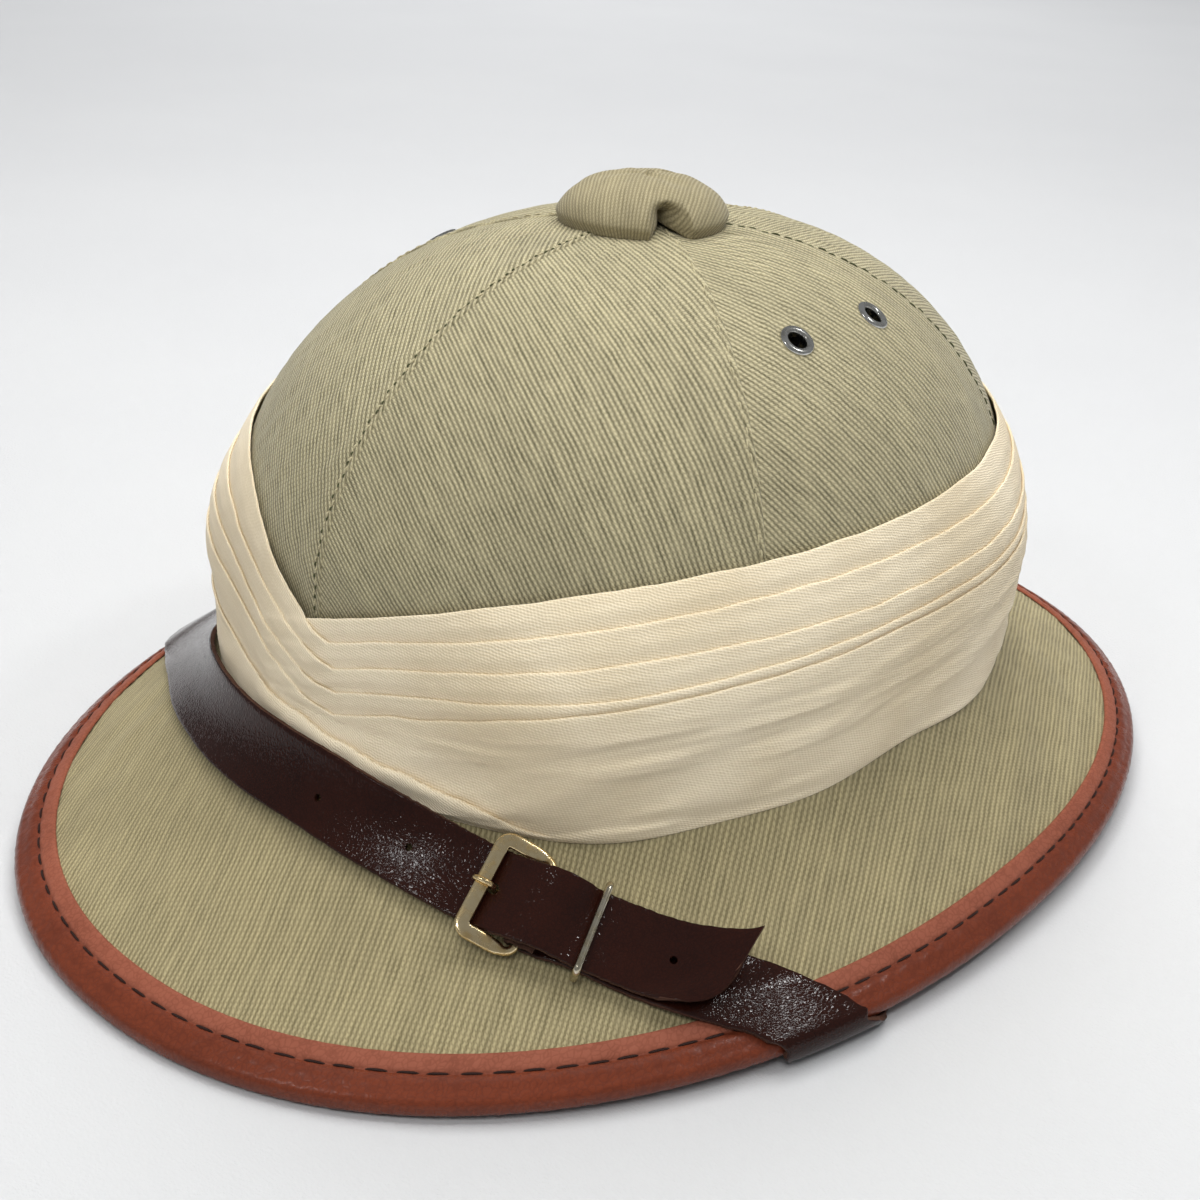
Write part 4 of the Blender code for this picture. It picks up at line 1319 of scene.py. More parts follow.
@dataclass
class Puggaree:
    """A long scarf of pleated cotton wound once round the crown, whose pleats cross in a V at the front."""

    folds: tuple[Fold, ...] = ()
    brim_run: float = 0.080
    foot: float = 0.118
    foot_rear: float = 0.035
    base: float = 0.0006
    step: float = 0.00050
    ridge: float = 0.00020
    thick: float = 0.00042
    tuck: float = 0.0050
    belly: float = 0.0024
    level: float = 0.0017
    least_offset: float = 0.00025
    dip: float = 2.3
    mean_radius: float = 0.108
    starts: tuple[float, ...] = (-7.0, -6.0, -7.0, -7.5, -8.0)
    ends: tuple[float, ...] = (370.5, 370.0, 370.0, 370.5, 399.4)
    crease: tuple[tuple[float, float], ...] = (
        (-180, 9.0), (-10, 9.0), (20, 8.2), (30, 7.0), (45, 6.2), (62, 7.0), (90, 8.0), (200, 9.0), (400, 9.0))
    roll: tuple[tuple[float, float], ...] = (
        (0.0042, -2.0), (0.0014, -2.0), (0.0005, -1.9), (0.00012, -1.5), (-0.00006, -1.0), (0.00005, -0.45),
        (0.0003, -0.12), (0.0007, 0.0))

    def __post_init__(self) -> None:
        """Set the folds' edges."""
        top = [(-8.0, 75.6), (-3.0, 78.6)]
        top += [(float(a), float(band_top(np.array([a]))[0]) * 1000) for a in
                (0.5, 4, 8, 13, 19, 26, 34, 44, 56, 70, 90, 120, 150, 180, 210, 240, 270, 290, 305, 315, 322, 328,
                 333, 337.5, 341.5, 345, 348.5, 352, 355.5, 358.5)]
        top += [(360.8, 79.4), (366.3, 76.0), (372.0, 72.6)]
        second = [(-7.0, 68.0), (1.0, 72.8), (6.3, 76.1), (13.0, 79.6), (19.9, 82.3), (34.0, 87.6), (49.0, 91.6),
                  (66.2, 94.6), (82.2, 95.8), (120.0, 96.4), (180.0, 97.0), (240.0, 96.5), (280.0, 96.0),
                  (318.0, 94.2), (333.0, 91.0), (341.6, 86.3), (352.0, 78.9), (356.0, 75.6), (360.4, 71.9),
                  (365.4, 69.2), (371.5, 66.2)]
        third = [(-8.0, 60.6), (0.3, 65.3), (5.4, 69.0), (12.0, 72.6), (20.0, 75.8), (34.0, 80.4), (49.3, 84.1),
                 (66.4, 86.4), (90.0, 87.6), (120.0, 88.0), (180.0, 88.5), (240.0, 88.0), (285.0, 87.2),
                 (318.0, 84.8), (333.0, 81.2), (341.6, 76.8), (349.5, 72.2), (355.7, 68.6), (360.5, 64.9),
                 (365.8, 63.0), (371.5, 60.9)]
        fourth = [(-9.0, 54.8), (-0.5, 59.0), (5.6, 63.0), (12.0, 66.3), (20.0, 69.2), (34.0, 73.6), (49.5, 76.9),
                  (66.8, 80.4), (85.0, 82.2), (120.0, 82.4), (180.0, 81.8), (240.0, 80.6), (285.0, 79.0),
                  (318.0, 76.0), (333.0, 72.2), (342.5, 68.8), (349.8, 65.5), (356.4, 61.6), (359.5, 59.2),
                  (366.2, 56.7), (372.0, 54.6)]
        last = [(-9.0, 6.2), (-2.0, 1.6), (6.2, -1.8), (12.0, -4.9), (20.0, -8.0), (34.0, -14.6), (49.6, -18.9),
                (67.0, -22.0), (83.0, -23.9), (120.0, -23.4), (160.0, -21.0), (200.0, -17.5), (250.0, -12.6),
                (300.0, -6.2), (332.0, -1.6), (341.0, 0.2), (349.0, 0.5), (356.6, 0.7), (360.0, 1.0),
                (365.1, 1.5), (372.0, 2.3), (379.0, 3.2), (386.5, 4.6), (390.6, 6.1), (395.3, 8.6), (400.0, 9.6)]
        top = [(spot, height - self.dip * hump(spot, 6.0, 26.0) - self.dip * hump(spot, 366.0, 16.0))
               for spot, height in top]
        self.folds = tuple(Fold(heights_to_places(rows)) for rows in (top, second, third, fourth)) + (
            Fold(tuple(last)),)

    def bottom(self, angle: Array) -> Array:
        """Places of the band's lower edge, in metres.

        Args:
            angle: round the hat, in degrees.

        Returns:
            Places down the hat.
        """
        rear = (1.0 - np.cos(np.radians(angle))) / 2
        wander = 0.0004 * np.sin(np.radians(angle) * 5.0 + 1.0) + 0.0003 * np.sin(np.radians(angle) * 11.0)
        turn = from_front(angle)
        swell = 0.027 * hump(turn, 46.0, 12.0) - 0.040 * hump(turn, 86.0, 14.0) - 0.020 * hump(turn, 18.0, 9.0)
        return (self.foot + swell + self.foot_rear * rear ** 3) * self.brim_run + wander

    def place(self, angle: Array, down: Array, offset: Array) -> Array:
        """Points at places down the hat, where the cloth hangs straight down to the brim.

        Args:
            angle: round the hat.
            down: metres from the crown's foot.
            offset: metres off the hat, or off where the cloth hangs.

        Returns:
            Points, with x, y and z along the last axis.
        """
        station = np.where(down < 0.0, down, down / self.brim_run)
        points = FORM.skin(angle, station, offset)
        foot = FORM.crown(angle, FORM.join_z)
        way = FORM.brim(angle, 0.3) - foot
        way = unit(way * np.array([1.0, 1.0, 0.0]))

        def flare(reach: Array) -> Array:
            """How far the brim's face has gone out at a reach."""
            return np.linalg.norm((FORM.brim(angle, reach) - foot)[..., :2], axis=-1)

        top = FORM.join_z - band_top(angle)
        turn = from_front(angle)
        loose = 0.30 + 0.70 * np.where(turn > -20.0, ramp(turn, 10.0, 38.0), 1.0 - ramp(turn, -46.0, -18.0))
        share = 1.0 - (1.0 - np.clip((down - top) / (-0.012 - top), 0.0, 1.0)) ** 1.7
        low = self.bottom(angle)
        push = flare(low / self.brim_run) * share - flare(np.maximum(station, 0.0))
        belly = np.sin(math.pi * np.clip((down - top * 0.8) / (low - top * 0.8), 0.0, 1.0)) ** 1.2 * self.belly
        full = ramp(turn, 14.0, 44.0) * (1.0 - ramp(turn, 110.0, 150.0))
        full = full + 1.6 * ramp(turn, -125.0, -100.0) * (1.0 - ramp(turn, -48.0, -20.0))
        return points + way * (np.maximum(push, 0.0) * loose + belly * full)[..., None]

    def stand(self, away: Array, width: Array) -> Array:
        """How far a fold stands off: flat under its edge, then down towards and under the next fold.

        Args:
            away: distance below the fold's edge.
            width: the distance to the next fold's edge.

        Returns:
            The height, in metres.
        """
        share = away / np.minimum(width, 0.013)
        rise = 1.0 + 1.3 * (1.0 - ramp(share, 0.45, 1.0)) - 0.7 * ramp(away - width, 0.0003, 0.0018)
        return self.base + self.step * rise + self.ridge * np.exp(-np.maximum(away, 0.0) / 0.0011)

    def widths(self, number: int, angle: Array) -> tuple[Array, Array]:
        """A fold's edge and the distance to the next fold's edge, or to the band's foot.

        Args:
            number: which fold, from the top.
            angle: round the hat, in degrees.

        Returns:
            The edge and the distance.
        """
        upper = self.folds[number].at(angle)
        last = number == len(self.folds) - 1
        lower = self.bottom(angle) if last else self.folds[number + 1].at(angle)
        return upper, np.maximum(lower - upper, 0.002) + (0.02 if last else 0.0)

    def under(self, number: int, angle: Array, down: Array) -> Array:
        """What the far end of a fold lies on at the front: the near ends of the folds up to its own.

        Args:
            number: which fold, from the top.
            angle: round the hat, from -14.
            down: places down the hat.

        Returns:
            The height, in metres.
        """
        height = np.full(np.broadcast_shapes(angle.shape, down.shape), self.base + self.step)
        for below in range(number + 1):
            upper, width = self.widths(below, angle)
            share = ramp(down - upper, -0.0013, -0.0001)
            reach = width + 9.0 * (below == number)
            height = height * (1.0 - share) + self.stand(np.maximum(down - upper, 0.0), reach) * share
        return height

    def ribbon(self, mesh: MeshBuilder, number: int, start: float, end: float) -> None:
        """Add one fold from end to end.

        Args:
            mesh: where it goes.
            number: which fold, from the top.
            start: its first angle.
            end: its last angle.
        """
        angle = np.concatenate([np.arange(start, 14.0, 0.45), np.arange(14.0, 344.0, 1.0),
                                np.arange(344.0, end + 0.1, 0.45)])[None]
        upper, width = self.widths(number, angle)
        final = number == len(self.folds) - 1
        lower = self.bottom(angle) if final else upper + width + self.tuck
        ripple, tiny = Ripple(20 + number), Ripple(40 + number)
        upper = upper + 0.00012 * ripple.at(angle / 12.0, 0.3) + 0.00004 * tiny.at(angle / 3.0, 0.1)
        fading = 1.0 - ramp(angle, 389.0, 399.0)
        thick = self.thick * (1.0 + 1.1 * ramp(angle, 344.0, 362.0) * final * fading)
        steps = 52 if final else 22
        share = (np.arange(steps) + 1.0)[:, None] / steps
        limit = np.maximum(lower, upper) - 0.0002
        down = [np.minimum(upper + spot * thick / self.thick, limit) for spot, _ in self.roll]
        depth = [drop * thick for _, drop in self.roll]
        first = self.roll[-1][0] * thick / self.thick
        least = first + (0.0001 if final else 0.0015)
        body = upper + first + (np.maximum(lower - upper, least) - first) * share
        down = np.concatenate(down + [body])
        depth = np.concatenate(depth + [np.zeros_like(body)])
        away = np.maximum(down - upper, 0.0)
        own = self.stand(away, width)
        near = angle - 360.0
        lain = self.level + 0.45 * (self.under(number, near, down) - self.level)
        if final:
            close = np.ones_like(down)
            rope = 2.6 * hump(away, 0.0, 0.0021) - 1.2 * hump(away, 0.0047, 0.0017)
            lain = lain + self.step * (0.25 + (0.55 + rope) * fading)
        else:
            gap = self.folds[number + 1].at(near) - down
            close = ramp(gap, 0.0, 0.0032)
            saw = 1.0 - ramp(away / width, 0.45, 1.0)
            lain = lain + self.step * (0.55 + (0.40 + saw) * close - 0.95 * ramp(-gap, 0.0, 0.0014))
        over = ramp(angle, 345.0, 352.0)
        offset = own * (1.0 - over) + lain * over
        front = np.where(angle > 180.0, near, angle)
        skirt = (down - self.folds[-1].at(angle)) * (1.0 - over) + (down - self.folds[-1].at(near)) * over
        offset = offset + self.drape(front, down, skirt) + depth
        offset = offset - 0.0008 * ramp(angle, 395.0, 399.5)
        if final:
            edge = self.bottom(angle) - down
            offset = np.where(edge < 0.0009, offset * (0.35 + 0.65 * ramp(edge, -0.0001, 0.0009)), offset)
        points = self.place(angle, down, np.maximum(offset, self.least_offset))
        length = np.radians(angle) * self.mean_radius
        steps_down = np.linalg.norm(np.diff(points, axis=0), axis=-1)
        reach = np.concatenate([np.zeros_like(angle), np.cumsum(steps_down, 0)])
        cloth = np.stack(np.broadcast_arrays(length, reach + self.folds[number].at(angle) * 0.4), -1)
        mesh.grid(points, cloth, flip=True)

    def drape(self, angle: Array, down: Array, skirt: Array) -> Array:
        """The band's small waves, which all the folds share, and the soft folds of its deep lowest part.

        Args:
            angle: round the hat, from -180 to 400.
            down: places down the hat.
            skirt: distance below the lowest fold's edge.

        Returns:
            What they add to the offset, in metres.
        """
        wave = 0.00005 * Ripple(26).at(angle / 9.0, down / 0.007)
        hang = ramp(skirt, 0.001, 0.009)
        tilt = down + 0.00020 * (angle - 60.0) * hump(angle, 40.0, 60.0)
        wave = wave + 0.00050 * Ripple(77, 7).at(angle / 50.0, tilt / 0.012) * hang
        wave = wave - 0.00035 * np.abs(Ripple(91, 6).at(angle / 34.0, tilt / 0.010)) ** 0.7 * hang
        crease = down - curve_through(self.crease, angle) / 1000.0
        mark = hump(crease, 0.0, 0.0012) * ramp(angle, 22.0, 32.0) * (1.0 - ramp(angle, 52.0, 84.0))
        return wave - 0.0009 * mark

    def build(self, cotton: Material) -> None:
        """The whole band as one piece.

        Args:
            cotton: its material.
        """
        mesh = MeshBuilder()
        for number, (start, end) in enumerate(zip(self.starts, self.ends)):
            self.ribbon(mesh, number, start, end)
        piece = settle(mesh.build("puggaree_cloth", [cotton]), "cream_cotton", "puggaree")
        area = sum(face.area for face in piece.data.polygons)
        log.info("puggaree_cloth: %.4f square metres", area)


# ---------------------------------------------------------------- cap and eyelets
@dataclass
class VentCap:
    """The padded cap on top of the crown, a shell with three slits."""

    radius: float = 0.0228
    height: float = 0.0112
    wall: float = 0.0015
    squareness: float = 2.25
    slit: float = 0.16
    pleat: float = 0.50
    shift: tuple[float, float] = (-0.0016, -0.0012)
    lean: float = 33.0
    proud: float = 0.0002
    columns: int = 240
    notches: tuple[tuple[float, float], ...] = ((60.5, 15.0), (180.0, 14.0), (-61.0, 14.0))

    def openness(self, angle: Array) -> tuple[Array, Array]:
        """How open the cap is at each angle.

        Args:
            angle: round the cap, in degrees.

        Returns:
            The slit's height as a share, and the closeness to a slit from 0 to 1.
        """
        slit, close = np.zeros_like(angle), np.zeros_like(angle)
        for middle, half in self.notches:
            away = np.abs(from_front(angle - middle))
            slit = np.maximum(slit, np.clip(1.0 - away / half, 0.0, 1.0) ** 0.9)
            close = np.maximum(close, hump(away, 0.0, half * 0.9))
        return slit, close

    def surface(self, turn: Array, run: Array, slit: Array, close: Array, inset: float) -> tuple[Array, Array]:
        """Points of the outer face, or of a face that lies inside it.

        Args:
            turn: round the cap, in radians.
            run: 0 at the top and 1 at the rim.
            slit: the slit's height.
            close: closeness to a slit.
            inset: metres inside the outer face.

        Returns:
            Points, and places on the cloth.
        """
        lean = run * math.pi / 2
        power = 2.0 / self.squareness
        tucked = 1.0 - 0.05 * ramp(run, 0.84, 1.0) - 0.035 * close * ramp(run, 0.55, 1.0)
        tucked = tucked * (1.0 - self.pleat * slit * ramp(run, 0.44, 0.74))
        radius = (self.radius - inset) * np.sin(lean) ** power * tucked
        puff = 0.00035 * Ripple(8).at(np.degrees(turn) / 70.0, run * 1.4) * (1.0 - run)
        lift = (self.height - inset) * np.cos(lean) ** power + puff + 0.00035
        lift = lift - 0.0008 * close * ramp(run, 0.35, 0.75) * (1.0 - ramp(run, 0.85, 1.0))
        x, y = radius * np.sin(turn) + self.shift[0], -radius * np.cos(turn) + FORM.centre_y + self.shift[1]
        points = np.stack([x, y, self.crown_height(x, y) + np.maximum(lift, 0.0003)], -1)
        step = np.linalg.norm(np.diff(points, axis=0), axis=-1)
        length = np.concatenate([radius[:1], radius[:1] + np.cumsum(step, 0)])
        return points, leaned(length * np.sin(turn), -length * np.cos(turn), self.lean)

    def build(self, twill: Material) -> None:
        """The cap as one padded shell that stands open at its slits.

        Args:
            twill: its material.
        """
        even = np.linspace(-180.0, 180.0, self.columns, endpoint=False)
        extra = [middle + np.linspace(-18.0, 18.0, 61) for middle, _ in self.notches]
        angle = np.unique(np.round(np.concatenate([even, *extra]), 3))
        angle = angle[(angle >= -180.0) & (angle < 180.0)][None]
        slit, close = self.openness(angle)
        share = (0.03 + 0.97 * np.linspace(0.0, 1.0, 44) ** 0.9)[:, None]
        run = share * (1.0 - self.slit * slit)
        turn = np.broadcast_to(np.radians(angle), run.shape)
        outer, cloth = self.surface(turn, run, slit, close, 0.0)
        inner, lined = self.surface(turn, run, slit, close, self.wall)
        middle = (outer[-1] + inner[-1]) / 2
        reach = (outer[-1] - inner[-1]) / 2
        down = unit(outer[-1] - outer[-4]) * np.linalg.norm(reach, axis=-1, keepdims=True)
        lip = [middle + reach * math.cos(t) + down * math.sin(t) for t in np.linspace(0.0, math.pi, 8)[1:-1]]
        floor = self.crown_height(middle[:, 0], middle[:, 1]) + self.proud
        for row in lip:
            row[:, 2] = np.maximum(row[:, 2], floor)
        points = np.concatenate([outer, np.stack(lip), inner[::-1]])
        edge = np.stack([cloth[-1] + (lined[-1] - cloth[-1]) * number / 7.0 for number in range(1, 7)])
        places = np.concatenate([cloth, edge, lined[::-1]])
        mesh = MeshBuilder()
        mesh.grid(points, places, round_columns=True, flip=True)
        for row, flip in ((0, True), (-1, False)):
            closing = [np.stack([np.broadcast_to(ring.mean(0), ring.shape), ring])
                       for ring in (points[row], places[row])]
            mesh.grid(*closing, round_columns=True, flip=flip)
        piece = settle(mesh.build("vent_cap_cloth", [twill]), "khaki_twill", "vent_cap")

    def crown_height(self, x: Array, y: Array) -> Array:
        """Height of the crown over a point near its middle.

        Args:
            x: the point's x.
            y: the point's y.

        Returns:
            The height.
        """
        share = np.hypot(x / FORM.half_width, (y - FORM.centre_y) / FORM.half_length)
        rise = (1.0 - share ** FORM.width_power) ** (1.0 / FORM.height_power)
        return FORM.dome_z + (FORM.top_z - FORM.dome_z) * rise


@dataclass
class Eyelets:
    """Four rolled metal eyelets in the side panels."""

    angles: dict[str, float] = field(default_factory=lambda: {
        "left_front": 77.4, "left_rear": 102.6, "right_front": -77.4, "right_rear": -102.6})
    height: float = 0.1388
    bore: float = 0.0024
    barrel: float = 0.0030
    flange: float = 0.0045
    steps: int = 48

    def build(self, metal: Material) -> None:
        """Turn one ring for each hole.

        Args:
            metal: their material.
        """
        middle, ring = (self.bore + self.flange) / 2, (self.flange - self.bore) / 2
        turn = np.linspace(0.0, math.pi, 15)
        profile = [(middle + ring * math.cos(t), 0.0003 + 0.00105 * math.sin(t) ** 0.8) for t in turn]
        inside = -FORM.wall - 0.0006
        profile += [(self.bore, 0.0), (self.bore, inside - 0.0006), (self.flange - 0.0003, inside - 0.0006),
                    (self.flange, inside - 0.0003), (self.flange, inside), (self.barrel, inside),
                    (self.barrel, 0.0002), (self.flange - 0.0001, 0.0002)]
        grid = turned(profile, self.steps)
        for name, angle in self.angles.items():
            mesh = MeshBuilder()
            mesh.grid(moved(grid, FORM.frame_matrix(angle, self.height)), round_rows=True, round_columns=True)
            settle(mesh.build(f"eyelet_ring_{name}", [metal]), "nickel", f"eyelet_{name}")


# ---------------------------------------------------------------- chin strap
# the straps and what the buckle shares with them, in metres, then places in the rows of the tables
STRAP_WIDTH = 0.0185
STRAP_LIFT = 0.0013
PRONG_HOLE_X = 0.0026
HINGE_RADIUS = 0.0010
HINGE_PLAY = 0.0003
RIVET_ROW = 1.0
FREE_BAR_ROW, HINGE_ROW, KEEPER_ROW = 17, 18, 20
LONG_STRAP: tuple[Row, ...] = (
    ((-106.0, 2.80, 0.0), (-93.0, 2.84, 0.0)),
    ((-97.0, 2.52, 0.0), (-85.5, 2.52, 0.0)),
    ((-89.0, 2.20, 0.0), (-79.0, 2.18, 0.0)),
    ((-84.0, 2.00, 0.0), (-74.5, 2.00, 0.0)),
    ((-82.7, 1.75, 0.0), (-73.2, 1.75, 0.0)),
    ((-81.5, 1.50, 0.0), (-72.0, 1.50, 0.0)),
    ((-80.2, 1.25, 0.0), (-70.7, 1.25, 0.0)),
    ((-79.0, 1.00, 0.0), (-69.5, 1.00, 0.0)),
    ((-72.0, 0.78, 0.0), (-66.5, 0.86, 0.0)),
    ((-64.0, 0.53, 0.0), (-61.5, 0.74, 0.0)),
    ((-53.0, 0.31, 0.8), (-53.5, 0.53, 0.2)),
    ((-42.0, 0.175, 2.7), (-42.5, 0.345, 1.0)),
    ((-28.0, 0.09, 4.0), (-28.0, 0.255, 1.8)),
    ((-14.0, 0.06, 4.3), (-14.0, 0.22, 2.1)),
    ((3.5, 0.05, 4.3), (3.5, 0.22, 2.1)),
    ((16.0, 0.075, 4.2), (15.5, 0.27, 1.7)),
    ((24.5, 0.11, 3.9), (23.5, 0.335, 1.3)),
    ((32.3, 0.172, 3.4), (30.8, 0.415, 2.1)),
    ((38.6, 0.25, 7.9), (36.8, 0.488, 6.3)),
    ((41.5, 0.29, 7.9), (39.5, 0.520, 6.6)),
    ((44.5, 0.335, 4.4), (42.3, 0.555, 4.4)),
    ((49.0, 0.41, 4.1), (46.6, 0.625, 3.4)),
    ((54.0, 0.505, 5.8), (51.3, 0.72, 3.4)),
    ((58.8, 0.585, 8.8), (55.6, 0.80, 4.4)),
    ((60.6, 0.610, 10.4), (57.4, 0.82, 5.4)),
)
SHORT_STRAP: tuple[Row, ...] = (
    ((97.5, 2.80, 0.0), (84.5, 2.84, 0.0)),
    ((88.5, 2.52, 0.0), (77.0, 2.52, 0.0)),
    ((80.5, 2.20, 0.0), (70.5, 2.18, 0.0)),
    ((75.5, 2.00, 0.0), (66.0, 2.00, 0.0)),
    ((74.2, 1.75, 0.0), (64.7, 1.75, 0.0)),
    ((73.0, 1.50, 0.0), (63.5, 1.50, 0.0)),
    ((71.7, 1.25, 0.0), (62.2, 1.25, 0.0)),
    ((70.5, 1.00, 0.0), (61.0, 1.00, 0.0)),
    ((62.5, 0.72, 0.0), (58.5, 0.88, 0.0)),
    ((55.5, 0.545, 0.0), (53.0, 0.76, 0.0)),
    ((49.0, 0.41, 0.8), (46.6, 0.63, 0.8)),
    ((44.5, 0.335, 1.9), (42.3, 0.555, 1.9)),
    ((41.5, 0.29, 1.7), (39.5, 0.520, 0.6)),
)


@dataclass(frozen=True)
class StrapRoute:
    """The way of a strap over the hat.

    Each row holds its upper and its lower edge, as an angle, a reach and a lift in millimetres.
    """

    table: tuple[Row, ...]

    def values(self, row: Array) -> Array:
        """The six table values at row numbers that may lie between two rows, on a Catmull-Rom curve.

        Args:
            row: row numbers.

        Returns:
            Values shaped (rows, 6).
        """
        table = np.array(self.table).reshape(len(self.table), 6)
        table = np.vstack([table[:1], table, table[-1:]])
        row = np.clip(np.asarray(row, float), 0.0, len(self.table) - 1.0)
        index = np.minimum(row.astype(int), len(self.table) - 2)
        t = (row - index)[:, None]
        before, start, end, after = (table[index + step] for step in range(4))
        return 0.5 * (2 * start + (end - before) * t + (2 * before - 5 * start + 4 * end - after) * t * t
                      + (3 * start - before - 3 * end + after) * t ** 3)

    def across(self, values: Array, share: Array) -> Array:
        """Points across the strap's mid-thickness.

        Args:
            values: table values shaped (rows, 6).
            share: 0 at the upper edge and 1 at the lower, shaped (rows, columns).

        Returns:
            Points shaped (rows, columns, 3).
        """
        low, high = values[:, None, 3:], values[:, None, :3]
        mixed = low * share[..., None] + high * (1.0 - share[..., None])
        return FORM.wrap(mixed[..., 0], mixed[..., 1], STRAP_LIFT + np.maximum(mixed[..., 2], 0.0) / 1000.0)

    def lines(self, row: Array, columns: Array) -> Array:
        """Points on lines square across the strap.

        Args:
            row: row numbers.
            columns: places across, from -0.5 at the upper edge to 0.5, shaped (columns,) or (rows, columns).

        Returns:
            Points shaped (rows, columns, 3).
        """
        coarse = np.arange(0.0, len(self.table) - 0.75, 0.5)
        values = self.values(coarse)
        edges = self.across(values, np.broadcast_to(np.array([0.0, 0.5, 1.0]), (len(coarse), 3)))
        travel = unit(np.gradient(edges[:, 1], axis=0))
        wide = np.linalg.norm(np.cross(edges[:, 2] - edges[:, 0], travel), axis=-1)
        spread = np.interp(row, coarse, STRAP_WIDTH / wide)
        columns = np.broadcast_to(columns, (len(row), np.shape(columns)[-1]))
        return self.across(self.values(row), 0.5 + columns * spread[:, None])

    def seat(self, row: float) -> Matrix:
        """Placement in the middle of the strap at a row number; Z off the hat.

        Args:
            row: the row number.

        Returns:
            The placement.
        """
        near = self.lines(np.array([row - 0.05, row, row + 0.05]), np.array([-0.5, 0.0, 0.5]))
        along = Vector(near[2, 1] - near[0, 1]).normalized()
        across = Vector(near[1, 2] - near[1, 0])
        across = (across - along * across.dot(along)).normalized()
        normal = along.cross(across)
        if (row > 4.0) == (normal.z < 0.0):
            normal.negate()
        return placement(Vector(near[1, 1]), along, normal.cross(along), normal)


def edge_points(row: Row, upper_lift: float, lower_lift: float) -> tuple[Vector, Vector]:
    """Upper and lower edge of a strap row at given lifts in millimetres.

    Args:
        row: the table's row.
        upper_lift: off the hat at the upper edge.
        lower_lift: off the hat at the lower edge.

    Returns:
        The two points.
    """
    (upper_angle, upper_reach, _), (lower_angle, lower_reach, _) = row
    return (Vector(FORM.wrap(upper_angle, upper_reach, STRAP_LIFT + upper_lift / 1000)),
            Vector(FORM.wrap(lower_angle, lower_reach, STRAP_LIFT + lower_lift / 1000)))


def plane_frame(start: Vector, end: Vector, upper: Vector, lower: Vector) -> Matrix:
    """Placement at start: X towards end, Y from the upper edge to the lower, Z off the hat.

    Args:
        start: its origin.
        end: a point further along.
        upper: a point on the upper edge.
        lower: the point across from it.

    Returns:
        The placement.
    """
    along = (end - start).normalized()
    across = lower - upper
    across = (across - along * across.dot(along)).normalized()
    normal = along.cross(across)
    if normal.z < 0.0:
        normal.negate()
    return placement(start, along, across, normal)


def buckle_place() -> Matrix:
    """Where the buckle lies.

    Returns:
        A placement in the strap's mid-thickness under the frame's free bar.
    """
    free_row = LONG_STRAP[FREE_BAR_ROW]
    lifts = (free_row[0][2], free_row[1][2])
    upper, lower = edge_points(free_row, *lifts)
    hinge_upper, hinge_lower = edge_points(LONG_STRAP[HINGE_ROW], *lifts)
    return plane_frame((upper + lower) / 2, (hinge_upper + hinge_lower) / 2,
                       upper + hinge_upper, lower + hinge_lower)


def keeper_place() -> Matrix:
    """Where the keeper lies.

    Returns:
        A placement on the brim's face under the middle of the straps.
    """
    down = -1000.0 * STRAP_LIFT
    upper, lower = edge_points(LONG_STRAP[KEEPER_ROW], down, down)
    next_upper, next_lower = edge_points(LONG_STRAP[KEEPER_ROW + 1], down, down)
    start = plane_frame((upper + lower) / 2, (next_upper + next_lower) / 2, upper, lower)
    return start @ Matrix.Translation((0.0020, 0.0, 0.0))


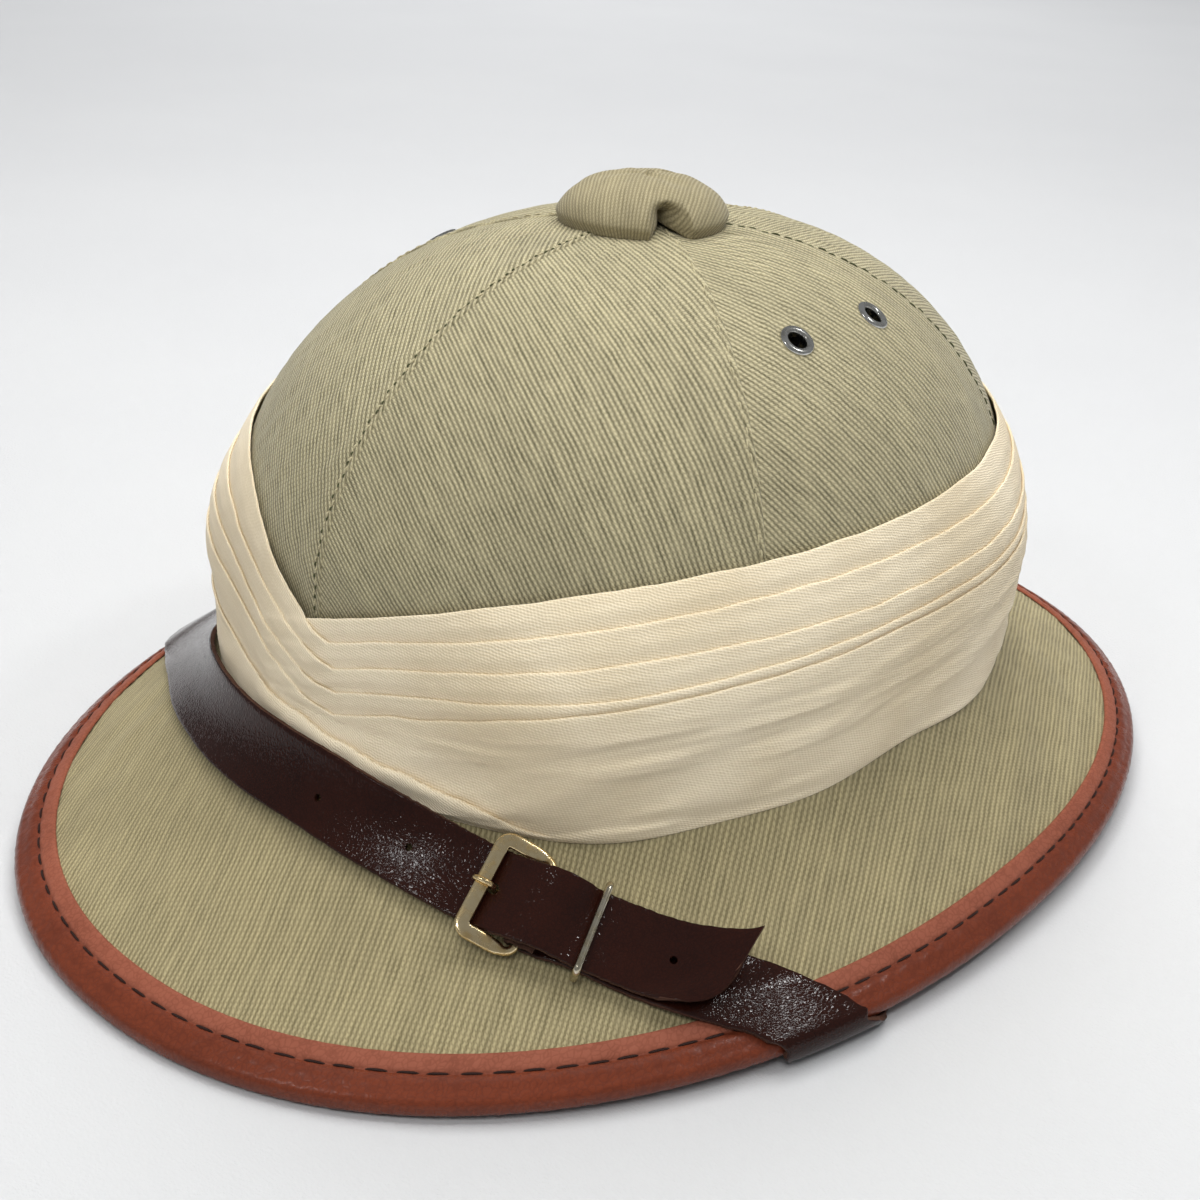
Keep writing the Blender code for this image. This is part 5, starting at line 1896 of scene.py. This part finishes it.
@dataclass
class ChinStrap:
    """The two leather straps and their holes: one with its tongue, one with its fold round the buckle's bar."""

    route: StrapRoute = StrapRoute(LONG_STRAP)
    short_route: StrapRoute = StrapRoute(SHORT_STRAP)
    step: float = 0.085
    tongue_row: float = 21.6
    fold_row: float = 11.95
    columns: int = 17
    thickness: float = 0.0016
    edge_round: float = 0.00042
    edge_step: float = 0.0003
    back_shift: float = 0.05
    hole: float = 0.0009
    hole_rows: tuple[float, ...] = (14.25, 15.65, 22.0)
    rivet_hole: float = 0.0018
    crease_angle: float = 50.0

    def section(self, lines: Array, normals: Array, shares: Array, wear: Ripple) -> tuple[Array, Array]:
        """Wrap a rounded section round lines of mid-thickness points.

        Args:
            lines: points shaped (rows, columns, 3).
            normals: their normals.
            shares: the columns' places across, shaped (columns,).
            wear: noise that keeps the edges from being dead straight.

        Returns:
            The closed section's points and places on the leather.
        """
        half, soft = self.thickness / 2, self.edge_round
        first, last = lines[:, :1], lines[:, -1:]
        outward = unit(last - first)
        run = run_along(lines[:, lines.shape[1] // 2])
        ragged = 0.00010 * wear.at(run / 0.004, 0.2)[:, None, None]
        top = lines + normals * half
        bottom = lines - normals * half
        turn = np.linspace(0.0, math.pi, 7)[1:-1]

        def side(edge: Array, normal: Array, out: Array) -> Array:
            """The rounded side at one edge, from the top face down.

            Args:
                edge: the edge's points in mid-thickness.
                normal: off the dressed face.
                out: away from the strap.

            Returns:
                Points shaped (rows, 5, 3).
            """
            lift = np.sign(np.cos(turn)) * np.abs(np.cos(turn)) ** 0.6 * half
            push = np.abs(np.sin(turn)) ** 0.8 * soft + ragged[..., 0]
            return edge + normal * lift[None, :, None] + out * push[..., None]

        left = side(first, normals[:, :1], -outward)
        right = side(last, normals[:, -1:], outward)
        points = np.concatenate([top, right, bottom[:, ::-1], left[:, ::-1]], 1)
        wide = shares * STRAP_WIDTH
        around = np.concatenate([wide, np.full(5, wide[-1]) + np.arange(1, 6) * self.edge_step,
                                 wide[::-1] + self.back_shift,
                                 np.full(5, wide[0]) - np.arange(5, 0, -1) * self.edge_step])
        cloth = np.stack(np.broadcast_arrays(around[None], run[:, None]), -1)
        return points, cloth

    def strip(self, mesh: MeshBuilder, lines: Array, shares: Array, seed: int, turned: bool = False) -> None:
        """Add a strap along lines of points across it, with a dressed face, raw sides and a raw back.

        Args:
            mesh: where it goes.
            lines: points shaped (rows, columns, 3), lines across from the upper edge to the lower.
            shares: the columns' places across.
            seed: which noise its edges have.
            turned: whether the dressed face is on the other side, because the strap runs the other way.
        """
        travel = unit(np.gradient(lines, axis=0))
        across = unit(np.gradient(lines, axis=1))
        normals = unit(np.cross(travel, across)) * (-1.0 if turned else 1.0)
        points, cloth = self.section(lines, normals, shares, Ripple(seed))
        count, full = len(shares), points.shape[1]
        face, back = np.r_[full - 2:full, 0:count + 2], np.r_[count + 1:full - 1]
        mesh.grid(points[:, face], cloth[:, face])
        mesh.grid(points[:, back], cloth[:, back], slot=1)
        mesh.cap(points[0], slot=1)
        mesh.cap(points[-1], slot=1, flip=True)

    def drill(self, piece: Piece, place: Matrix, radius: float, deep: float = 0.005) -> None:
        """Cut a round hole through a piece.

        Args:
            piece: the piece.
            place: where, with Z along the hole.
            radius: the hole's radius.
            deep: the cutter's length.
        """
        self.subtract(piece, moved(turned([(radius, -deep / 2), (radius, deep / 2)], 20), place))

    def subtract(self, piece: Piece, rings: Array) -> None:
        """Cut the body between two rings of points out of a piece.

        Args:
            piece: the piece.
            rings: the cutter's lower and its upper ring.
        """
        cutter = MeshBuilder()
        cutter.grid(rings, round_columns=True)
        cutter.cap(rings[0], flip=True)
        cutter.cap(rings[1])
        tool = cutter.build("cutter", [], welded=True)
        change = piece.modifiers.new("hole", "BOOLEAN")
        change.operation = "DIFFERENCE"
        change.solver = "EXACT"
        change.object = tool
        graph = bpy.context.evaluated_depsgraph_get()
        made = bpy.data.meshes.new_from_object(piece.evaluated_get(graph))
        piece.modifiers.clear()
        old = piece.data
        piece.data = made
        bpy.data.meshes.remove(old)
        bpy.data.objects.remove(tool)

    def finished(self, piece: Piece, node: str) -> None:
        """Smooth a strap's faces, keep its cut edges crisp and settle it.

        Args:
            piece: the strap.
            node: the CAD node that it replaces.
        """
        piece.data.shade_smooth()
        piece.data.set_sharp_from_angle(angle=math.radians(self.crease_angle))
        settle(piece, "dark_leather", node)


    def shares(self) -> Array:
        """Places across the strap, closer together at its edges."""
        turn = np.linspace(-1.0, 1.0, self.columns)
        return 0.5 * np.sign(turn) * (1.0 - (1.0 - np.abs(turn)) ** 1.25) * (1.0 - 0.04)

    def tongue_end(self, share: Array) -> Array:
        """Row number where the tongue ends, at places across it: a small nib above and a rounded corner below.

        Args:
            share: places across, from -0.5 to 0.5.

        Returns:
            Row numbers.
        """
        corner = np.clip((share + 0.02) / 0.50, 0.0, 1.0)
        nib = hump(share, -0.46, 0.045)
        rounding = 1.42 * (1.0 - np.sqrt(np.maximum(1.0 - corner ** 2.3, 0.0)))
        return 23.62 - 0.10 * (share + 0.5) - rounding + 0.03 * nib

    def long_strap(self, face: Material, raw: Material) -> None:
        """The long strap from its hidden end to the tongue.

        Args:
            face: the dressed side's material.
            raw: the material of the back and the cut edges.
        """
        shares = self.shares()
        plain = np.arange(0.0, self.tongue_row, self.step)
        lines = self.route.lines(plain, shares)
        end = self.tongue_end(shares)
        tail = np.linspace(0.0, 1.0, 34)[1:, None]
        rows = plain[-1] + (end[None] - plain[-1]) * tail
        last = np.stack([self.route.lines(rows[:, column], shares[column:column + 1])[:, 0]
                         for column in range(len(shares))], 1)
        lines = np.concatenate([lines, last])
        mesh = MeshBuilder()
        self.strip(mesh, lines, shares, 31, turned=True)
        piece = mesh.build("chin_strap_long_leather", [face, raw], welded=True)
        for row in self.hole_rows:
            self.drill(piece, self.route.seat(row), self.hole)
        self.drill(piece, buckle_place() @ Matrix.Translation((PRONG_HOLE_X, 0.0, 0.0004)), 0.0013)
        self.drill(piece, self.route.seat(RIVET_ROW), self.rivet_hole)
        self.finished(piece, "chin_strap_long")

    def short_strap(self, face: Material, raw: Material) -> None:
        """The short strap from its hidden end, round the rim and round the buckle's bar.

        Args:
            face: the dressed side's material.
            raw: the material of the back and the cut edges.
        """
        shares = self.shares()
        rows = np.arange(0.0, self.fold_row, self.step)
        lines = self.short_route.lines(rows, shares)
        place = buckle_place()
        radius = HINGE_RADIUS + HINGE_PLAY + self.thickness / 2
        spots = [(0.0135, -radius), (0.0130, -radius), (0.0125, -radius)]
        turn = np.linspace(0.0, math.pi, 15)[1:-1]
        spots += [(0.0125 - radius * math.sin(t), -radius * math.cos(t)) for t in turn]
        spots += [(0.0125, radius), (0.0140, radius), (0.0155, radius), (0.0170, radius)]
        wide, ones = shares * STRAP_WIDTH, np.ones(len(shares))
        fold = np.stack([moved(np.column_stack([x * ones, wide, z * ones]), place) for x, z in spots])
        bridge = np.linspace(0.0, 1.0, 7)[1:-1, None, None]
        joined = lines[-1] * (1.0 - bridge) + fold[0] * bridge
        lines = np.concatenate([lines, joined, fold])
        mesh = MeshBuilder()
        self.strip(mesh, lines, shares, 32)
        piece = mesh.build("chin_strap_short_leather", [face, raw], welded=True)
        ring = np.array([(-1, -1), (1, -1), (1, 1), (-1, 1)]) * np.array([0.0033, 0.0013])
        slot = np.stack([np.column_stack([ring, np.full(4, z)]) for z in (-0.0035, 0.0035)])
        self.subtract(piece, moved(slot, place @ Matrix.Translation((0.0126, 0.0, 0.0))))
        self.drill(piece, self.short_route.seat(RIVET_ROW), self.rivet_hole)
        self.finished(piece, "chin_strap_short")


@dataclass
class Buckle:
    """A brass frame whose arms slope down to a thin hinge bar, its prong and the wire keeper."""

    length: float = 0.0125
    width: float = 0.0225
    corner: float = 0.0022
    rise: float = 0.0026
    bar_half_width: float = 0.0017
    bar_half_height: float = 0.0009
    prong: float = 0.0007
    wire: float = 0.00092
    play: float = 0.0005
    strap_rise: float = 0.0044
    strap_half: float = 0.0008

    def loop(self, half_x: float, half_y: float, radius: float, steps: int) -> Array:
        """Points of a rounded rectangle about the origin, anticlockwise.

        Args:
            half_x: half its size along x.
            half_y: half its size along y.
            radius: of its corners.
            steps: how many each corner has.

        Returns:
            Points, with x and y along the last axis.
        """
        sides = ((1, 1), (-1, 1), (-1, -1), (1, -1))

        def spot(corner: int, turn: float) -> Array:
            """A point on the round of a corner.

            Args:
                corner: its number, anticlockwise.
                turn: the way from the corner's centre, in radians.

            Returns:
                Its x and y.
            """
            side_x, side_y = sides[corner % 4]
            return np.array((side_x * (half_x - radius) + radius * math.cos(turn),
                             side_y * (half_y - radius) + radius * math.sin(turn)))

        made = []
        for corner in range(4):
            made += [spot(corner, math.pi / 2 * (corner + step / steps)) for step in range(steps + 1)]
            start, stop = made[-1], spot(corner + 1, math.pi / 2 * (corner + 1))
            shares = (0.1, 0.25, 0.5, 0.75, 0.9) if corner % 2 else (0.15, 0.4, 0.6, 0.85)
            made += [start + (stop - start) * share for share in shares]
        return np.array(made)

    def frame(self, metal: Material) -> None:
        """The frame, with flat faces and softly broken edges.

        Args:
            metal: its material.
        """
        path = self.loop(self.length / 2, self.width / 2, self.corner, 8)
        rows = []
        for index, (x, y) in enumerate(path):
            before, after = path[index - 1], path[(index + 1) % len(path)]
            travel = unit(np.append(after - before, 0.0))
            side = np.array([travel[1], -travel[0], 0.0])
            share = float(ramp(x + self.length / 2, 0.0, self.length))
            centre = np.array([x + self.length / 2, y, self.rise * (1.0 - share)])
            thin = float(ramp(share, 0.75, 1.0))
            half_width = self.bar_half_width + (HINGE_RADIUS - self.bar_half_width) * thin
            half_height = self.bar_half_height + (HINGE_RADIUS - self.bar_half_height) * thin
            turn = 2.0 * math.pi * (np.arange(20) + 0.5) / 20
            power = 0.45 + 0.55 * thin
            wide = np.sign(np.cos(turn)) * np.abs(np.cos(turn)) ** power * half_width
            high = np.sign(np.sin(turn)) * np.abs(np.sin(turn)) ** power * half_height
            rows.append(centre + side * wide[:, None] + np.array([0.0, 0.0, 1.0]) * high[:, None])
        mesh = MeshBuilder()
        mesh.grid(moved(np.stack(rows), buckle_place()), round_rows=True, round_columns=True)
        settle(mesh.build("buckle_frame_brass", [metal], welded=True), "pale_brass", "buckle_frame")

    def prong_wire(self, metal: Material) -> None:
        """The prong, round the hinge bar, under the strap and up through a hole over the free bar.

        Args:
            metal: its material.
        """
        ring = HINGE_RADIUS + HINGE_PLAY + self.prong
        over = self.rise + self.bar_half_height + HINGE_PLAY + self.prong
        turn = np.radians(np.arange(-120, 91, 15))
        points = [(self.length + ring * math.cos(t), 0.0, ring * math.sin(t)) for t in turn]
        shank = np.array([(self.length - 0.0018, 0.0014), (self.length - 0.0038, 0.0004),
                          (self.length - 0.0062, -0.0006), (PRONG_HOLE_X + 0.0016, -0.0013),
                          (PRONG_HOLE_X + 0.0003, -0.0008), (PRONG_HOLE_X, 0.0004), (PRONG_HOLE_X, self.rise),
                          (PRONG_HOLE_X - 0.0006, over - 0.0006), (PRONG_HOLE_X - 0.0018, over), (0.0, over),
                          (-0.0014, over - 0.0003), (-0.0025, over - 0.0014)])
        fine = np.linspace(0.0, len(shank) - 1.0, 4 * len(shank))
        x, z = (np.interp(fine, np.arange(len(shank)), values) for values in shank.T)
        path = np.concatenate([np.array(points), np.column_stack([x, np.zeros_like(x), z])])
        radii = np.full(len(path), self.prong)
        radii[-4:] = self.prong * np.array([0.98, 0.92, 0.8, 0.55])
        mesh = MeshBuilder()
        mesh.tube(moved(path, buckle_place()), radii, 12, up=np.array(buckle_place())[:3, 1])
        settle(mesh.build("buckle_prong_brass", [metal]), "pale_brass", "buckle_prong")

    def keeper(self, metal: Material) -> None:
        """The wire keeper, a closed loop round both straps.

        Args:
            metal: its material.
        """
        low = self.play + self.wire
        high = STRAP_LIFT + self.strap_rise + self.strap_half + self.play + self.wire
        half = STRAP_WIDTH / 2 + self.play + self.wire
        loop = self.loop((high - low) / 2, half, 0.0013, 6)
        path = np.column_stack([np.zeros(len(loop)), loop[:, 1], loop[:, 0] + (high + low) / 2])
        mesh = MeshBuilder()
        place = keeper_place()
        mesh.tube(moved(path, place), self.wire, 14, closed=True, up=np.array(place)[:3, 0])
        settle(mesh.build("strap_keeper_wire", [metal], welded=True), "pale_brass", "strap_keeper")

    def rivets(self, metal: Material, routes: dict[str, StrapRoute]) -> None:
        """Set the tubular rivets that hold the straps' hidden ends.

        Args:
            metal: their material.
            routes: the strap's route by side.
        """
        head, top = -0.0011, 0.0010
        profile = [(0.0006, top), (0.0013, top), (0.0015, top - 0.0002), (0.0015, head), (0.0038, head),
                   (0.0040, head - 0.0002), (0.0039, head - 0.0006), (0.0033, head - 0.0009),
                   (0.0024, head - 0.0011), (0.0010, head - 0.0011), (0.0006, head - 0.0008)]
        grid = turned(profile, 36)
        for side, route in routes.items():
            mesh = MeshBuilder()
            place = route.seat(RIVET_ROW) @ Matrix.Rotation(math.pi, 4, "X")
            mesh.grid(moved(grid, place), round_rows=True, round_columns=True, flip=True)
            piece = mesh.build(f"strap_rivet_{side}_head", [metal], welded=True)
            settle(piece, "nickel", f"strap_rivet_{side}")


# ---------------------------------------------------------------- the room
@dataclass(frozen=True)
class Lamp:
    """A square soft lamp: the way from the hat to it, its distance, its side and its power in watts."""

    name: str
    towards: tuple[float, float, float]
    distance: float
    size: float
    power: float
    colour: Colour = (1.0, 1.0, 1.0)
    aim: tuple[float, float, float] | None = None
    shine: bool = False


@dataclass
class Studio:
    """A pale floor, soft lamps and the camera."""

    eye: tuple[float, float, float] = (0.2750, -0.3393, 0.2574)
    yaw: float = 0.7008
    pitch: float = 0.4554
    roll: float = 0.0543
    lens: float = 51.0
    film: float = 36.0
    middle: tuple[float, float, float] = (0.0, 0.0, 0.08)
    lamps: tuple[Lamp, ...] = (
        Lamp("overhead", (-0.10, 0.12, 1.0), 1.0, 1.0, 11.0, (1.0, 0.99, 0.97)),
        Lamp("key", (0.34, -0.50, 0.74), 1.6, 0.5, 7.5),
        Lamp("front_bulb", (-0.03, -0.74, 0.67), 1.6, 0.14, 2.2, shine=True),
        Lamp("side_bulb", (0.52, 0.30, 0.80), 1.6, 0.14, 3.4, shine=True),
        Lamp("backdrop", (-1.3, 1.5, 1.5), 2.5, 1.6, 33.0, aim=(0.0, 0.0, 1.0)))

    def camera(self) -> None:
        """Place the camera at the photograph's viewpoint."""
        yaw, pitch, roll = self.yaw, self.pitch, self.roll
        ahead = Vector((-math.sin(yaw) * math.cos(pitch), math.cos(yaw) * math.cos(pitch), -math.sin(pitch)))
        right = ahead.cross(Vector((0.0, 0.0, 1.0))).normalized()
        up = right.cross(ahead)
        across = right * math.cos(roll) + up * math.sin(roll)
        above = up * math.cos(roll) - right * math.sin(roll)
        data = bpy.data.cameras.new("camera")
        data.lens = self.lens
        data.sensor_width = self.film
        data.clip_start = 0.01
        item = bpy.data.objects.new("camera", data)
        bpy.context.scene.collection.objects.link(item)
        item.matrix_world = placement(Vector(self.eye), across, above, -ahead)
        bpy.context.scene.camera = item

    def floor(self, cloth: Material) -> None:
        """A wide pale floor.

        Args:
            cloth: its material.
        """
        mesh = MeshBuilder()
        side = np.linspace(-4.0, 4.0, 41)
        x, y = np.meshgrid(side, side)
        points = np.stack([x, y, np.full_like(x, -0.0002)], -1)
        mesh.grid(points, points[..., :2])
        mesh.build("floor", [cloth])

    def hang(self, lamp: Lamp) -> None:
        """Hang a lamp that faces the hat, or the way it is aimed.

        Args:
            lamp: the lamp.
        """
        data = bpy.data.lights.new(lamp.name, "AREA")
        data.shape = "SQUARE"
        data.size = lamp.size
        data.energy = lamp.power
        data.color = lamp.colour
        item = bpy.data.objects.new(lamp.name, data)
        bpy.context.scene.collection.objects.link(item)
        way = Vector(lamp.towards).normalized()
        item.location = way * lamp.distance + Vector(self.middle)
        item.rotation_mode = "QUATERNION"
        item.rotation_quaternion = Vector(lamp.aim or way).to_track_quat("Z", "Y")
        item.visible_glossy = lamp.shine

    def light(self) -> None:
        """Hang the lamps and set the room's own light."""
        for lamp in self.lamps:
            self.hang(lamp)
        world = bpy.data.worlds.new("room")
        world.use_nodes = True
        back = world.node_tree.nodes["Background"]
        back.inputs["Color"].default_value = (0.97, 0.98, 1.0, 1.0)
        back.inputs["Strength"].default_value = 0.25
        bpy.context.scene.world = world
        bpy.context.scene.view_settings.view_transform = "Standard"


def main() -> None:
    """Build the helmet piece by piece and report each."""
    logging.basicConfig(level=logging.INFO, format="%(message)s")
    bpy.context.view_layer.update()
    Finish.groups = SharedGroups()
    studio = Studio()
    studio.camera()
    khaki = Twill("khaki_twill_crown", (191, 181, 145), (82, 77, 52)).make()
    brim_twill = Twill("khaki_twill_brim", (173, 161, 123), (108, 99, 69), pitch=1.18, twist=1.2, roughness=0.75,
                       relief=0.00012, sheen=0.08).make()
    cap_twill = Twill("khaki_twill_cap", (163, 152, 119), (114, 105, 77), pitch=1.02, relief=0.00009).make()
    lining = PlainCloth("khaki_lining", (150, 138, 100), (110, 100, 70)).make()
    cotton = PlainCloth("cream_cotton_weave", (250, 237, 210), (214, 194, 156)).make()
    # the binding's inner strip is painted paler, a painted sheen on the rough strip
    binding_leather = Leather("rust_leather", (120, 58, 37), (88, 40, 26), pebble=1.6, relief=0.00004,
                              gloss=(0.24, 0.36), specular=0.24, matte_to=4.7, strip_sheen=(150, 88, 68)).make()
    face = Leather("dark_leather_face", (46, 20, 13), (27, 11, 8), pebble=0.9, relief=0.00006, gloss=(0.07, 0.15),
                   specular=0.22).make()
    raw = Leather("dark_leather_raw", (88, 60, 48), (48, 29, 22), pebble=0.5, relief=0.0001, gloss=(0.75, 0.95),
                  specular=0.2).make()
    nickel = Metal("nickel_plate", (214, 214, 210), (170, 168, 160)).make()
    brass = Metal("pale_brass_plate", (240, 220, 176), (214, 186, 132), gloss=(0.18, 0.36)).make()
    wire = Metal("pale_brass_wire", (212, 204, 184), (172, 160, 132), gloss=(0.16, 0.3)).make()
    threads = {"pale": Thread("khaki_thread", (216, 206, 172), (150, 140, 104)).make(),
               "dark": Thread("green_thread", (92, 94, 62), (50, 54, 34)).make()}
    brown = Thread("brown_thread", (52, 30, 24), (20, 10, 9)).make()
    crown = CrownCover()
    eyelets = Eyelets()
    crown.build(khaki, lining, [FORM.frame_matrix(angle, eyelets.height) for angle in eyelets.angles.values()])
    crown.stitches(threads)
    BrimCover().build(brim_twill, lining)
    binding = RimBinding()
    binding.build(binding_leather)
    binding.stitches(brown)
    Puggaree().build(cotton)
    VentCap().build(cap_twill)
    eyelets.build(nickel)
    strap = ChinStrap()
    strap.long_strap(face, raw)
    strap.short_strap(face, raw)
    buckle = Buckle()
    buckle.frame(brass)
    buckle.prong_wire(brass)
    buckle.keeper(wire)
    buckle.rivets(nickel, {"left": strap.short_route, "right": strap.route})
    studio.floor(FloorCloth("pale_floor").make())
    studio.light()


if __name__ == "__main__":
    main()
